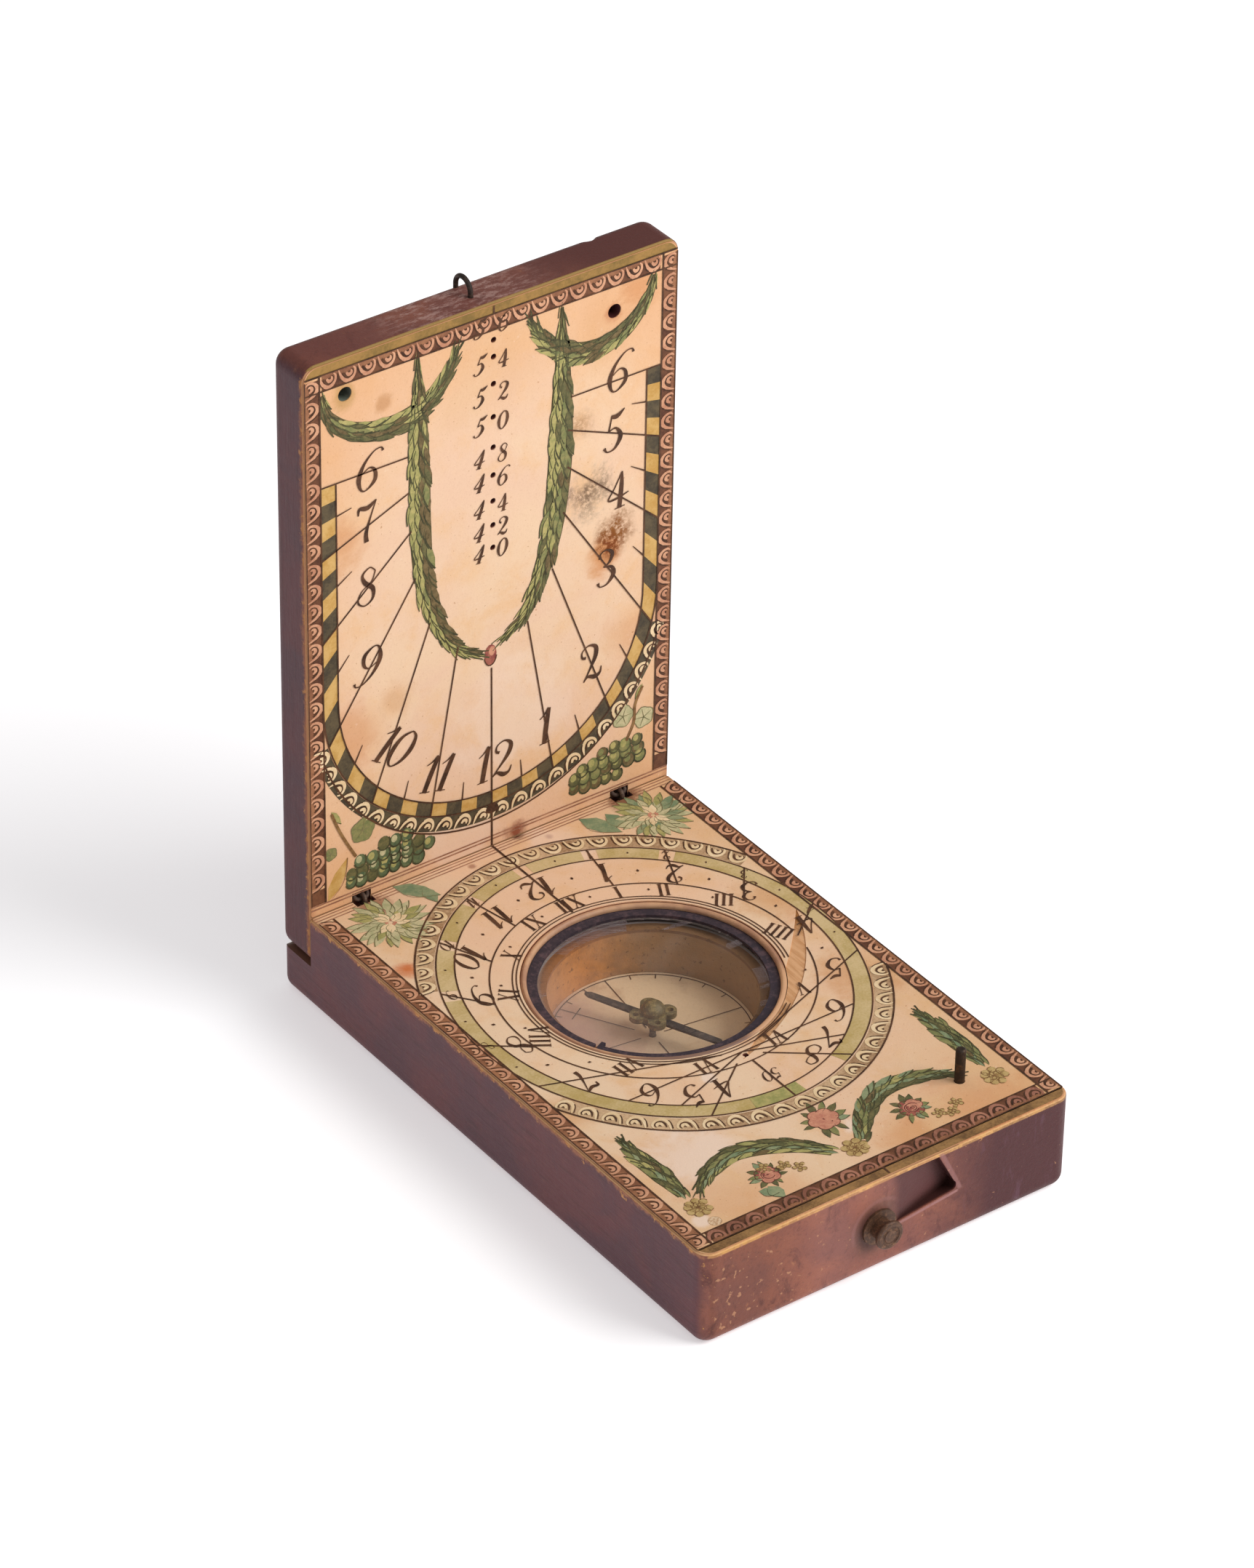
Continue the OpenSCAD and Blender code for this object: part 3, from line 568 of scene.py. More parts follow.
def base_rings(art):
    bare = [(ring_angle(hours) - OLIVE_GAP, ring_angle(hours) + OLIVE_GAP)
            for hours in (2, 1, 0, -1, -2, -3)]
    bare.append((274, 291))
    for (_, start), (end, _) in zip(bare, bare[1:] + [(bare[0][0] + 360, 0)]):
        olive_part(art, "olive", start, end)
    olive_part(art, "leaf_light", 258, 274)
    # The tear took a part of the two rings beside the bead and a little of the next one
    for r in BEAD_RINGS:
        art.line("ink", arc(RINGS_AT, r, r, -20, 308, 3), 0.2)
    art.line("ink", arc(RINGS_AT, *ROMAN_RING, -5, 344, 3), FINE)
    for shape in (ARABIC_RING, OLIVE_RING):
        art.line("ink", arc(RINGS_AT, *shape, 0, 360, 3), FINE)
    # The scrolls run along the rim, and the side borders cut them off
    for start, end in ((26, 154), (206, 334)):
        path = arc(RINGS_AT, 31.9, 35.7, start, end, 3)
        scroll_band(art, path[::-1], 1, depth=2.9, pale="scroll_cream", ground="scroll_tan")
        art.line("ink", arc(RINGS_AT, *RIM_RING, start, end, 3), 0.28)


def base_hour_lines(art):
    """Hour lines from the string's foot, from near it, or from a ring, out to the ring that ends them."""
    for hours in range(-7, 8):
        angle = base_ray(hours)
        end = ring_hit(angle, *(OLIVE_RING if abs(hours) < 6 else ARABIC_RING))
        start = (0, FOOT_Y)
        if hours == 0:
            start = ring_hit(angle, BEAD_RINGS[1], BEAD_RINGS[1])
        elif abs(hours) < 5:
            start = ring_hit(angle, *ROMAN_RING)
        elif abs(hours) == 5:
            reach = math.dist(start, end)
            start = (end[0] * 3.2 / reach, FOOT_Y + (end[1] - FOOT_Y) * 3.2 / reach)
        art.line("ink", [start, end], THIN)
    for way in (-1, 1):
        angle = way * (math.pi - hour_ray(4, BASE_FACTOR))
        art.line("ink", [(way * 2.4, FOOT_Y - 1.9), ring_hit(angle, *OLIVE_RING)], THIN)
    art.line("ink", [(0, RINGS_Y + 20.9), (0, 0)], [0.32, 0.36])
    art.line("ink", [(0, RINGS_Y - ROMAN_RING[1]), (0, RINGS_Y - OLIVE_RING[1])], RULE)


def base_numerals(art):
    """Arabic numerals in the outer ring, Roman ones in the inner, and the latitude at the foot."""
    for text, x, y, turn in (
            ("12", -0.6, -13.4, 180), ("11", -9.9, -15.9, 191), ("10", -19.6, -22.0, 206),
            ("9", -24.0, -31.2, 202), ("8", -26.1, -44.2, 206), ("7", -23.4, -56.8, 196),
            ("6", -17.1, -65.1, 180), ("5", -12.1, -69.0, 180), ("4", -7.4, -70.1, 184),
            ("1", 10.3, -15.8, 168), ("2", 18.9, -22.2, 150), ("3", 25.5, -32.4, 150),
            ("4", 27.6, -44.4, 178), ("5", 24.2, -55.8, 160), ("6", 18.1, -64.3, 180),
            ("7", 13.0, -68.9, 180), ("8", 8.2, -71.2, 150)):
        number(art, text, (x, y), 4.7, turn, slant=0.12, weight=0.95)
    number(art, "50", (0.2, -71.6), 2.4, 180)
    for text, x, y, turn in (
            ("XII", 0.8, -19.4, 180), ("XI", -6.6, -20.2, 190), ("X", -14.2, -25.2, 214),
            ("IX", -20.4, -33.2, 232), ("VIII", -22.6, -44.3, 240), ("VII", -16.1, -57.8, 190),
            ("VI", -6.6, -64.4, 180), ("I", 8.7, -21.2, 168), ("II", 14.9, -24.6, 155),
            ("III", 20.9, -32.0, 145), ("IIII", 22.8, -43.4, 118), ("V", 16.9, -57.1, 170),
            ("VI", 6.2, -64.6, 180)):
        number(art, text, (x, y), 3.1, turn, slant=0.06, weight=1.1)


def base_dots(art):
    """Dots at the half hours in three rings, and small numerals in the outermost."""
    for i in range(-9, 10, 2):
        angle = hour_ray(i / 2, BASE_FACTOR)
        for rx, ry, r in DOT_RINGS:
            diamond = [(-r, 0), (0, r * 0.7), (r, 0), (0, -r * 0.7)]
            art.fill("ink", turned(diamond, ring_hit(angle, rx, ry), 90 - math.degrees(angle)))
    for hours in (-4, -3, -2, -1, 1, 2, 3, 4):
        angle = hour_ray(hours, BASE_FACTOR)
        number(art, str(hours % 12), ring_hit(angle, *DOT_RINGS[-1][:2]), 2.1,
               180 - math.degrees(angle) * 0.8, weight=0.9)


def sunburst(art, centre, r, dice, inks):
    """A full daisy of many narrow petals, paler towards its middle."""
    for ring_share, count, length, choice in ((0.4, 23, 0.6, inks), (0.22, 17, 0.54, inks),
                                              (0.05, 12, 0.42, ("scroll_cream", "sage"))):
        for i in range(count):
            way = 360 / count * i + dice.uniform(-6, 6)
            leaf(art, dice.choice(choice), polar(ring_share * r, way, centre), way,
                 length * r * dice.uniform(0.85, 1.1), r * 0.23, edge=0.14, line="leaf_soft")
    for i in range(9):
        art.disc("petal", polar(r * 0.1, 40 * i, centre), r * 0.045, sides=7)


def base_flowers(art, dice):
    for x, y, way, length, width in ((-18.8, 0.0, -51, 7.8, 3.6), (-15.0, -3.0, -95, 4.4, 2.4),
                                     (15.2, -1.8, -62, 7.6, 3.8), (19.4, -3.0, -80, 5.6, 3.0)):
        leaf(art, "teal", (x, y), way, length, width, edge=0.1, line="leaf_soft")
    sunburst(art, (-24.3, -7.6), 6.8, dice, ("sage", "sage", "leaf_light"))
    sunburst(art, (25.4, -7.6), 6.5, dice, ("sage", "sage", "leaf_light", "teal"))
    for x, mirror in ((-27.7, 1), (27.6, -1)):
        garland(art, [(x, -87.6), (x + 0.2, -82), (x, -76), (x + mirror * 0.3, -71.0)],
                [1.0, 1.9, 1.8, 0.3], dice, 3.4, ("leaf", "leaf_dark", "teal", "leaf"))
    for path, lanes in (
            ([(-3.4, -91.6), (-8.2, -86.6), (-15.5, -83.6), (-22.0, -85.4), (-25.8, -88.4)],
             ("leaf_dark", "leaf", "teal", "leaf_light")),
            ([(1.4, -91.8), (5.6, -87.0), (11.2, -83.8), (18.4, -84.6), (23.6, -87.8)],
             ("leaf_dark", "teal", "leaf", "teal"))):
        garland(art, path, [1.2, 1.9, 2.0, 1.7, 0.4], dice, 3.6, lanes)
    for x, y in ((-27.6, -90.8), (-0.4, -92.6), (27.2, -90.8)):
        rosette(art, (x, y), 2.3, dice, 8)
    for x, y in ((-11.6, -90.0), (-9.8, -91.6), (16.6, -94.0), (14.8, -93.2), (-14.4, -88.9), (18.4, -92.6)):
        rosette(art, (x, y), 1.2, dice, 5)
    for x, y, r in ((-0.1, -84.6, 2.7), (-14.8, -90.4, 2.1), (12.2, -89.8, 2.2)):
        for way in range(0, 360, 33):
            leaf(art, dice.choice(("leaf", "leaf_dark", "teal")), polar(r * 0.6, way, (x, y)),
                 way + dice.uniform(-25, 25), r * dice.uniform(0.7, 1.15), r * dice.uniform(0.35, 0.55))
        rose(art, (x, y), r, dice)
    leaf(art, "teal", (-16.4, -92.6), -80, 3.6, 2.6, edge=0.1)
    leaf(art, "teal", (-18.2, -92.8), -40, 3.0, 2.2, edge=0.1)


def base_print():
    """The base's print from its borders in to its flowers; the later marks lie over the earlier ones."""
    art = Print()
    dice = random.Random(23)
    rear, front = -1.9, BASE_FRONT_LINE
    for way, ground in ((-1, "scroll_mid"), (1, "scroll_dark")):
        x, rule = way * BORDER, way * (BORDER_OUT + 0.05)
        scroll_band(art, [(x, rear), (x, front)], way, depth=BORDER_OUT - BORDER, ground=ground)
        art.line("ink", [(x, rear), (x, front)], RULE)
        art.line("ink", [(rule, rear), (rule, front)], HAIR)
    scroll_band(art, [(-BORDER, front + SCROLL_DEPTH), (BORDER, front + SCROLL_DEPTH)], -1,
                pale="scroll_dull")
    for y, width in ((front + SCROLL_DEPTH, THIN), (front, HAIR)):
        art.line("ink", [(-EDGE, y), (EDGE, y)], width)
    art.fill("strip_gold", [(EDGE, front - 0.2), (-EDGE, front - 0.2), *strip_corner(-31.3, -98.2, 192),
                            *strip_corner(31.3, -98.2, 270)])
    art.line("ink", [(0, front), (0, -100.3)], RULE)
    for y in (-0.45, -1.1, -1.75):
        for start, end in ((-EDGE, -WIRE_TO), (-WIRE_FROM, WIRE_FROM), (WIRE_TO, EDGE)):
            art.line("rust", [(start, y), (end, y)], 0.2)
    base_rings(art)
    base_hour_lines(art)
    base_numerals(art)
    base_dots(art)
    base_flowers(art, dice)
    return art


# Printed artwork made into thin inked layers


def layer(name, shown, placed, body, paint):
    """One thin inked layer: shown holds points in the artwork's plane, and placed puts each on its face."""
    points, faces = shown
    sound = []
    for face in faces:
        corners = [points[i] for i in face]
        area = sum(a[0] * b[1] - b[0] * a[1] for a, b in zip(corners, corners[1:] + corners[:1]))
        if abs(area) > 1e-5:
            sound.append(face if area > 0 else face[::-1])
    mesh = bpy.data.meshes.new(name)
    mesh.from_pydata([placed(*p) for p in points], [], sound)
    mesh.materials.append(paint)
    piece = added(name, mesh)
    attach(piece, body)


def lay_print(art, prefix, placed, body):
    for ink, shown in art.inks.items():
        level, paint = INKS[ink]
        layer(prefix + "_" + ink, shown, lambda u, v, lift: placed(u, v, level + lift), body, paint)


def on_lid(u, v, level):
    return u * MM, (FACE_Y - level) * MM, (HINGE.z + v) * MM


def on_base(u, v, level):
    return u * MM, (HINGE.y + v) * MM, (PAPER_Z + level) * MM


def on_card(u, v, level):
    return u * MM, (WELL_Y + v) * MM, (CARD_HIGH.z + level) * MM


# Finishes


class Value:
    """A shader value or colour: arithmetic on values adds Math nodes."""

    def __init__(self, shader, socket):
        self.shader = shader
        self.socket = socket

    def math(self, operation, *others):
        return self.shader.node("Math", {"operation": operation}, dict(enumerate((self, *others))))

    def __add__(self, other):
        return self.math("ADD", other)

    def __sub__(self, other):
        return self.math("SUBTRACT", other)

    def __mul__(self, other):
        return self.math("MULTIPLY", other)

    def __neg__(self):
        return self * -1.0

    def __abs__(self):
        return self.math("ABSOLUTE")

    def __pow__(self, other):
        return self.math("POWER", other)

    def __rsub__(self, other):
        return self.shader.node("Math", {"operation": "SUBTRACT"}, {0: other, 1: self})

    __radd__ = __add__
    __rmul__ = __mul__

    def least(self, other):
        return self.math("MINIMUM", other)

    def most(self, other):
        return self.math("MAXIMUM", other)

    def over(self, low, high, to_low=0.0, to_high=1.0):
        """Eases from to_low to to_high as the value goes from low to high."""
        if low > high:
            low, high, to_low, to_high = high, low, to_high, to_low
        settings = {"interpolation_type": "SMOOTHSTEP"}
        return self.shader.node("MapRange", settings, {"Value": self, "From Min": low, "From Max": high,
                                                       "To Min": to_low, "To Max": to_high})


class Finish:
    """A Principled material that is built up from Values."""

    def __init__(self, name, roughness=0.6, **constants):
        self.material = bpy.data.materials.new(name)
        self.material.use_nodes = True
        self.tree = self.material.node_tree
        self.surface = self.tree.nodes["Principled BSDF"]
        self.color = None
        self.surface.inputs["Roughness"].default_value = roughness
        for socket, value in constants.items():
            self.surface.inputs[socket.replace("_", " ")].default_value = value

    def node(self, kind, settings=None, values=None, output=0):
        """One node: its settings first, then the values or links of its sockets."""
        node = self.tree.nodes.new("ShaderNode" + kind)
        for key, value in (settings or {}).items():
            setattr(node, key, value)
        for key, value in (values or {}).items():
            self.feed(node.inputs[key], value)
        return Value(self, node.outputs[output])

    def feed(self, socket, value):
        """Links or sets a socket; a tint of three numbers is a surface's colour as it looks, in 0 to 255."""
        if isinstance(value, Value):
            self.tree.links.new(value.socket, socket)
        elif socket.type == "RGBA" and len(value) == 3:
            socket.default_value = (*(linear(c) for c in value), 1.0)
        else:
            socket.default_value = value

    def set(self, **sockets):
        for name, value in sockets.items():
            self.feed(self.surface.inputs[name.replace("_", " ")], value)

    def axes(self, vector):
        outputs = self.node("SeparateXYZ", None, {0: vector}).socket.node.outputs
        return [Value(self, outputs[i]) for i in range(3)]

    @cached_property
    def place(self):
        """The point as a vector in millimetres, in the frame at rest."""
        coordinates = self.node("TexCoord", output=3)
        return self.node("VectorMath", {"operation": "SCALE"}, {0: coordinates, "Scale": 1 / MM})

    @cached_property
    def point(self):
        """The point as three values in millimetres."""
        return self.axes(self.place)

    @cached_property
    def facing(self):
        """The surface's own direction, before bumps, as three values."""
        return self.axes(self.node("TexCoord", output=1))

    def noise(self, scale, detail=4.0, rough=0.55, distortion=0.0, stretch=None, at=None):
        """Noise of about 0 to 1, with scale in waves to a millimetre, and long where stretch is small."""
        at = at or self.place
        if stretch:
            at = self.node("VectorMath", {"operation": "MULTIPLY"}, {0: at, 1: stretch})
        return self.node("TexNoise", None, {"Vector": at, "Scale": scale, "Detail": detail,
                                            "Roughness": rough, "Distortion": distortion})

    def mix(self, share, one, other, blend="MIX"):
        settings = {"data_type": "RGBA", "blend_type": blend}
        return self.node("Mix", settings, {0: share, 6: one, 7: other}, output=2)

    def lay(self, share, tint):
        """Covers the colour so far with a tint, by a share of 0 to 1."""
        self.color = self.mix(share, self.color, tint)

    def stain(self, share, tint):
        """Darkens the colour so far as a clear stain does, by a share of 0 to 1."""
        self.color = self.mix(share, self.color, tint, "MULTIPLY")

    def bump(self, height, millimetres):
        """A bump whose height of 1 stands this many millimetres."""
        self.set(Normal=self.node("Bump", None, {"Height": height, "Distance": millimetres * MM,
                                                 "Strength": 1.0}))


def linear(c):
    """One part of a colour that is given as it looks, in 0 to 255."""
    return ((c / 255 + 0.055) / 1.055) ** 2.4


def distance(x, y, cx, cy):
    return ((x - cx) * (x - cx) + (y - cy) * (y - cy)) ** 0.5


def near_edge(dx, dy, dz):
    """Distance from the nearest edge of a board, from the distances to its three pairs of faces."""
    low, high = dx.least(dy), dx.most(dy)
    return low.most(high.least(dz))


PLUM = (108, 62, 65)
RED_BROWN = (152, 92, 72)
GREY_PLUM = (95, 60, 67)
DARK_PLUM = (78, 38, 40)
WORN_TAN = (186, 126, 90)
ORANGE_WOOD = (198, 138, 84)
WELL_BROWN = (212, 142, 72)
DARK_GRIME = (52, 34, 32)


def painted_wood(name, low, high, stretch, bare, guard):
    """Thin plum paint on wood, whose grain is long where stretch is small.

    bare adds the unpainted and worn places and the painted shade, highlights and reflection, and guard is how
    much less the edges are chipped.
    """
    finish = Finish(name, roughness=0.55, Specular_IOR_Level=0.26)
    _, ny, nz = finish.facing
    grain = finish.noise(1.6, 6.0, 0.65, stretch=stretch)
    fine_grain = finish.noise(6.0, 4.0, 0.6, stretch=stretch)
    blotches = finish.noise(0.075, 5.0, 0.6, 0.4)
    specks = finish.noise(1.1, 3.0, 0.7)
    finish.color = finish.mix(blotches.over(0.38, 0.62), PLUM, GREY_PLUM)
    # Front and top faces red-brown, sides plum: partly the paint's own tone, partly painted light that makes
    # the sides the shaded faces.
    front = (-ny).over(0.2, 0.8)
    top = nz.over(0.3, 0.9)
    finish.lay(front.most(top) * blotches.over(0.3, 0.65, 1.0, 0.5), RED_BROWN)
    dark_end = (finish.point[0] + blotches * 12.0 - 6.0).over(4.0, 20.0)
    finish.lay(front.most(top * 0.95) * dark_end, DARK_PLUM)
    smears = finish.noise(0.3, 6.0, 0.75, 0.6, stretch=(1.0, 1.0, 0.6))
    finish.lay(front.most(top) * smears.over(0.5, 0.68) * 0.6, DARK_PLUM)
    finish.lay(grain.over(0.5, 0.72) * 0.3, DARK_GRIME)
    finish.lay(fine_grain.over(0.56, 0.7) * 0.12, WORN_TAN)
    middle, half = (low + high) / 2, (high - low) / 2
    edge = near_edge(*(half[i] - abs(finish.point[i] - middle[i]) for i in range(3)))
    kept = guard(*finish.point)
    rubbed = (edge + specks * 2.2 + blotches * 1.6 + kept * 1.6).over(2.9, 1.9)
    finish.lay(rubbed * 0.75, WORN_TAN)
    chips = (edge + finish.noise(0.5, 5.0, 0.7) * 9.0 + kept).over(4.6, 4.1)
    finish.lay(chips, ORANGE_WOOD)
    scuffs = finish.noise(0.8, 6.0, 0.8, stretch=(1.0, 0.6, 0.5)).over(0.6, 0.7)
    finish.lay(front.most(top) * scuffs * (1 - dark_end) * 0.6, WORN_TAN)
    bare(finish, grain, specks)
    finish.set(Base_Color=finish.color, Roughness=0.42 + rubbed * 0.2 + specks * 0.16)
    finish.bump(grain * 0.6 + fine_grain * 0.3 + specks * 0.25 - chips * 0.35, 0.12)
    return finish.material


# The thumb recess: its two ends across, the height of its floor at both, and its length; then the stud
RECESS_LEFT, RECESS_RIGHT = -1.6, 12.5
RECESS_LOW, RECESS_HIGH = 7.15, 8.75
RECESS_LENGTH = 14.0
STUD_AT = (-2.1, 8.35)


def front_marks(finish, specks):
    """The front's tan specks, its thumb recess with painted shade, rims pale from rubbing and from painted
    highlight, a painted bluish sheen at its right, painted shadow at the stud's left, and the ring round the
    stud.
    """
    x, y, z = finish.point
    _, ny, _ = finish.facing
    inside = x.over(RECESS_LEFT, RECESS_LEFT + 0.4) * x.over(RECESS_RIGHT + 0.3, RECESS_RIGHT)
    near_front = y.over(FRONT_Y + 4.0, FRONT_Y + 3.5)
    depth = (y - FRONT_Y).over(0.03, 0.5)
    low_edge = RECESS_LOW + (x - RECESS_LEFT) * ((RECESS_HIGH - RECESS_LOW) / RECESS_LENGTH)
    # Painted shade in the thumb recess, standing in for its depth: a darker floor, darkest along the lower
    # edge and into the right corner.
    deep = inside * near_front * depth * z.over(5.6, 6.2)
    finish.lay(deep * 0.9, (84, 46, 46))
    finish.lay(deep * (low_edge + 2.2 - z).over(0.0, 1.9) * 0.85, (54, 26, 22))
    finish.lay(deep * x.over(8.4, 11.0) * 0.5, (40, 20, 16))
    flat = (-ny).over(0.7, 0.95) * near_front * (1 - depth)
    finish.stain(flat * x.over(-12.0, -24.0), (232, 226, 214))
    finish.lay(flat * abs(x + 8.0).over(9.0, 3.0) * 0.12, (182, 128, 116))
    dots = finish.noise(0.9, 2.0, 0.5)
    spread = (x + z * 1.3).over(4.0, -22.0, 0.0, 0.085)
    finish.lay(flat * (dots + spread).over(0.7, 0.75) * 0.7, (186, 134, 98))
    sheen = finish.noise(0.35, 4.0, 0.7, stretch=(1.0, 1.0, 0.25)).over(0.56, 0.68)
    finish.lay(flat * (sheen * x.over(8.0, 20.0)) * 0.35, (112, 76, 94))
    round_stud = distance(x, z, *STUD_AT)
    finish.lay(flat * round_stud.over(6.2, 3.4) * 0.5, (112, 78, 66))
    # Painted shadow on the wood at the stud's left.
    finish.lay(flat * round_stud.over(5.0, 3.0) * (-x).over(1.0, 4.0) * 0.7, (58, 34, 30))
    # The recess's lower and right rims are pale from a painted highlight on their lit bevels and from rubbed
    # wear; the ring round the stud is worn.
    rim = abs(z - low_edge + 0.42).over(0.34, 0.12) * x.over(0.2, 2.0) * x.over(12.9, 12.4)
    side = abs(x - 13.0 + (z - 8.8) * 0.48).over(0.6, 0.2) * z.over(8.3, 8.8) * 0.6
    ring = abs(round_stud - 4.7).over(0.5, 0.12) * (z - STUD_AT[1] - x * 0.5).over(0.5, 2.5) * 0.3
    finish.lay(flat * rim.most(side).most(ring) * specks.over(0.25, 0.5, 0.5, 0.9), (160, 112, 108))


TEAR_TIP = (26.6, WELL_Y + 3.0)


def base_bare_wood_and_painted_light(finish, grain, specks):
    """The base's bare wood: its top, the well and the glass's seat, the worn front edge and the step, with
    painted shade and a painted reflection in the well and on the seat, and the front's marks.
    """
    x, y, z = finish.point
    _, ny, nz = finish.facing
    up = nz.over(0.4, 0.7)
    wood = finish.mix(grain.over(0.4, 0.65), (222, 172, 126), (200, 146, 98))
    wood = finish.mix(distance(x, y, *TEAR_TIP).over(7.0, 2.0), wood, (190, 170, 130), "MULTIPLY")
    top = up * z.over(16.0, 16.5)
    finish.lay(top, wood)
    r = distance(x, y, 0.0, WELL_Y)
    # The well wall is darker towards the right as painted shade, and greyer there as a painted reflection of
    # the glass in front.
    mottle = finish.noise(0.35, 5.0, 0.65) + x * 0.016
    wall = finish.mix(mottle.over(0.3, 0.8), WELL_BROWN, (158, 104, 60))
    wall = finish.mix(x.over(-4.0, 12.0) * 0.75, wall, (162, 136, 100))
    wall = finish.mix(specks.over(0.6, 0.7) * 0.6, wall, (70, 48, 36))
    finish.lay(r.over(19.4, 19.0), wall)
    seat = r.over(19.7, 19.5) * z.over(13.7, 13.9)
    # Painted shadow under the ring: the seat is dark from about 18.3 mm out.
    finish.lay(seat * r.over(18.2, 18.4), (46, 34, 38))
    # A painted reflection: a pale line along the seat just below the ring's edge.
    finish.lay(seat * abs(r - 18.05).over(0.3, 0.12), (176, 164, 162))
    # Painted shade: the flat ledge is darkened so that it looks no more lit than the wall.
    finish.stain(seat * r.over(17.9, 17.7), (206, 196, 196))
    front_edge = z.over(16.05, 16.3) * (-ny).over(0.15, 0.4) * y.over(FRONT_Y + 0.6, FRONT_Y + 0.4)
    worn = finish.noise(0.4, 5.0, 0.75).over(0.36, 0.56, 1.0, 0.45)
    finish.lay(front_edge * (worn * x.over(34.0, 6.0, 0.7, 1.0)), (226, 172, 106))
    step = y.over(HINGE.y - 0.4, HINGE.y + 0.1) * z.over(7.2, 7.6) * up
    finish.lay(step * (1 - top), (120, 84, 66))
    front_marks(finish, specks)


DULL_HOLE = (-26.5, HINGE.z + 91.2)


def lid_bare_wood_and_painted_shade(finish, *_):
    """The lid's bare wood: its holes' walls and its worn upper end, and painted shade on its left side."""
    x, y, z = finish.point
    nx, ny, nz = finish.facing
    finish.lay((-ny).over(0.6, 0.9), (190, 140, 100))
    dull = distance(x, z, *DULL_HOLE).over(2.2, 1.8) * y.over(LID_HIGH.y - 0.5, LID_HIGH.y - 0.8)
    finish.lay(dull, (116, 122, 110))
    # Painted shade: the lid's left-facing sides are darkened and cooled.
    finish.stain((-nx).over(0.5, 0.9), (222, 216, 220))
    top = nz.over(0.6, 0.9) * z.over(LID_HIGH.z - 2, LID_HIGH.z - 1)
    scratches = finish.noise(0.9, 6.0, 0.8, stretch=(0.5, 1.4, 1.0)).over(0.46, 0.62)
    middle = x.over(-22.0, -10.0) * x.over(14.0, 2.0)
    finish.lay(top * 0.4, (112, 64, 52))
    finish.lay(top * scratches * middle * 0.75, (182, 144, 134))
    finish.lay(top * x.over(-14.0, -28.0) * 0.35, (96, 46, 42))
    front_edge = z.over(LID_HIGH.z - 0.7, LID_HIGH.z - 0.4) * (-ny).over(0.1, 0.35)
    finish.lay(front_edge, (150, 118, 62))


def dial_paper(name, upright, far_end, glow, shades, spots, blooms):
    """Old laid paper from the hinge line to its far end, paler within the glow's reach of its middle.

    Spots are stains (across, up, radius, strength, tint), speckled above a strength of one, and blooms are
    pale patches (across, up, radius, strength).
    """
    finish = Finish(name, roughness=0.72, Specular_IOR_Level=0.25)
    x, y, z = finish.point
    up = (z - HINGE.z) if upright else (y - HINGE.y)
    broad = finish.noise(0.035, 4.0, 0.6, 0.6)
    cloud = finish.noise(0.11, 6.0, 0.65, 0.3)
    fibres = finish.noise(3.2, 5.0, 0.7)
    light, warm, pink, dull = shades
    finish.color = finish.mix(broad.over(0.38, 0.62), light, pink)
    finish.lay(cloud.over(0.46, 0.7) * 0.75, warm)
    cx, cy, reach = glow
    away = distance(x, up * 0.75, cx, cy * 0.75)
    finish.lay((away + cloud * 14).over(reach * 0.55, reach + 8), dull)
    finish.stain(fibres.over(0.5, 0.75) * 0.16, (190, 140, 100))
    finish.lay(fibres.over(0.4, 0.25) * 0.12, (255, 238, 214))
    rim = (HALF_W - abs(x)).least(abs(up - far_end)) + cloud * 1.6
    finish.stain(rim.over(2.6, 0.5) * 0.55, (170, 110, 62))
    specks = finish.noise(1.3, 6.0, 0.75)
    for cx, cy, r, strength, tint in spots:
        ragged = distance(x, up, cx, cy) + (cloud - 0.5) * r * 2.6
        share = ragged.over(r, r * 0.25) * min(strength, 1.0)
        if strength > 1:
            share = share * specks.over(0.36, 0.56, 0.15, 1.0)
        finish.stain(share, tint)
    foxing = finish.noise(1.9, 2.0, 0.5)
    finish.stain(foxing.over(0.68, 0.74) * 0.5, (190, 146, 104))
    rubs = finish.noise(0.9, 5.0, 0.8) - 0.5
    finish.lay(rubs.over(0.12, 0.2) * 0.25, (252, 232, 214))
    for cx, cy, r, share in blooms:
        bloom = (distance(x, up, cx, cy) + (cloud - 0.5) * r * 2.0).over(r, r * 0.5)
        finish.lay(bloom * share, (246, 222, 204))
    finish.set(Base_Color=finish.color, Roughness=0.66 + fibres * 0.14)
    finish.bump(fibres * 0.4 + cloud * 0.8, 0.09)
    return finish.material


def ink_paint(name, color, faded, spread=0.35):
    """Ink or watercolour, which pools and fades."""
    finish = Finish(name, roughness=0.68, Specular_IOR_Level=0.25)
    pools = finish.noise(spread, 5.0, 0.65, 0.4)
    grain = finish.noise(2.6, 3.0, 0.7)
    finish.set(Base_Color=finish.mix((pools * 0.7 + grain * 0.3).over(0.36, 0.64), color, faded))
    return finish.material


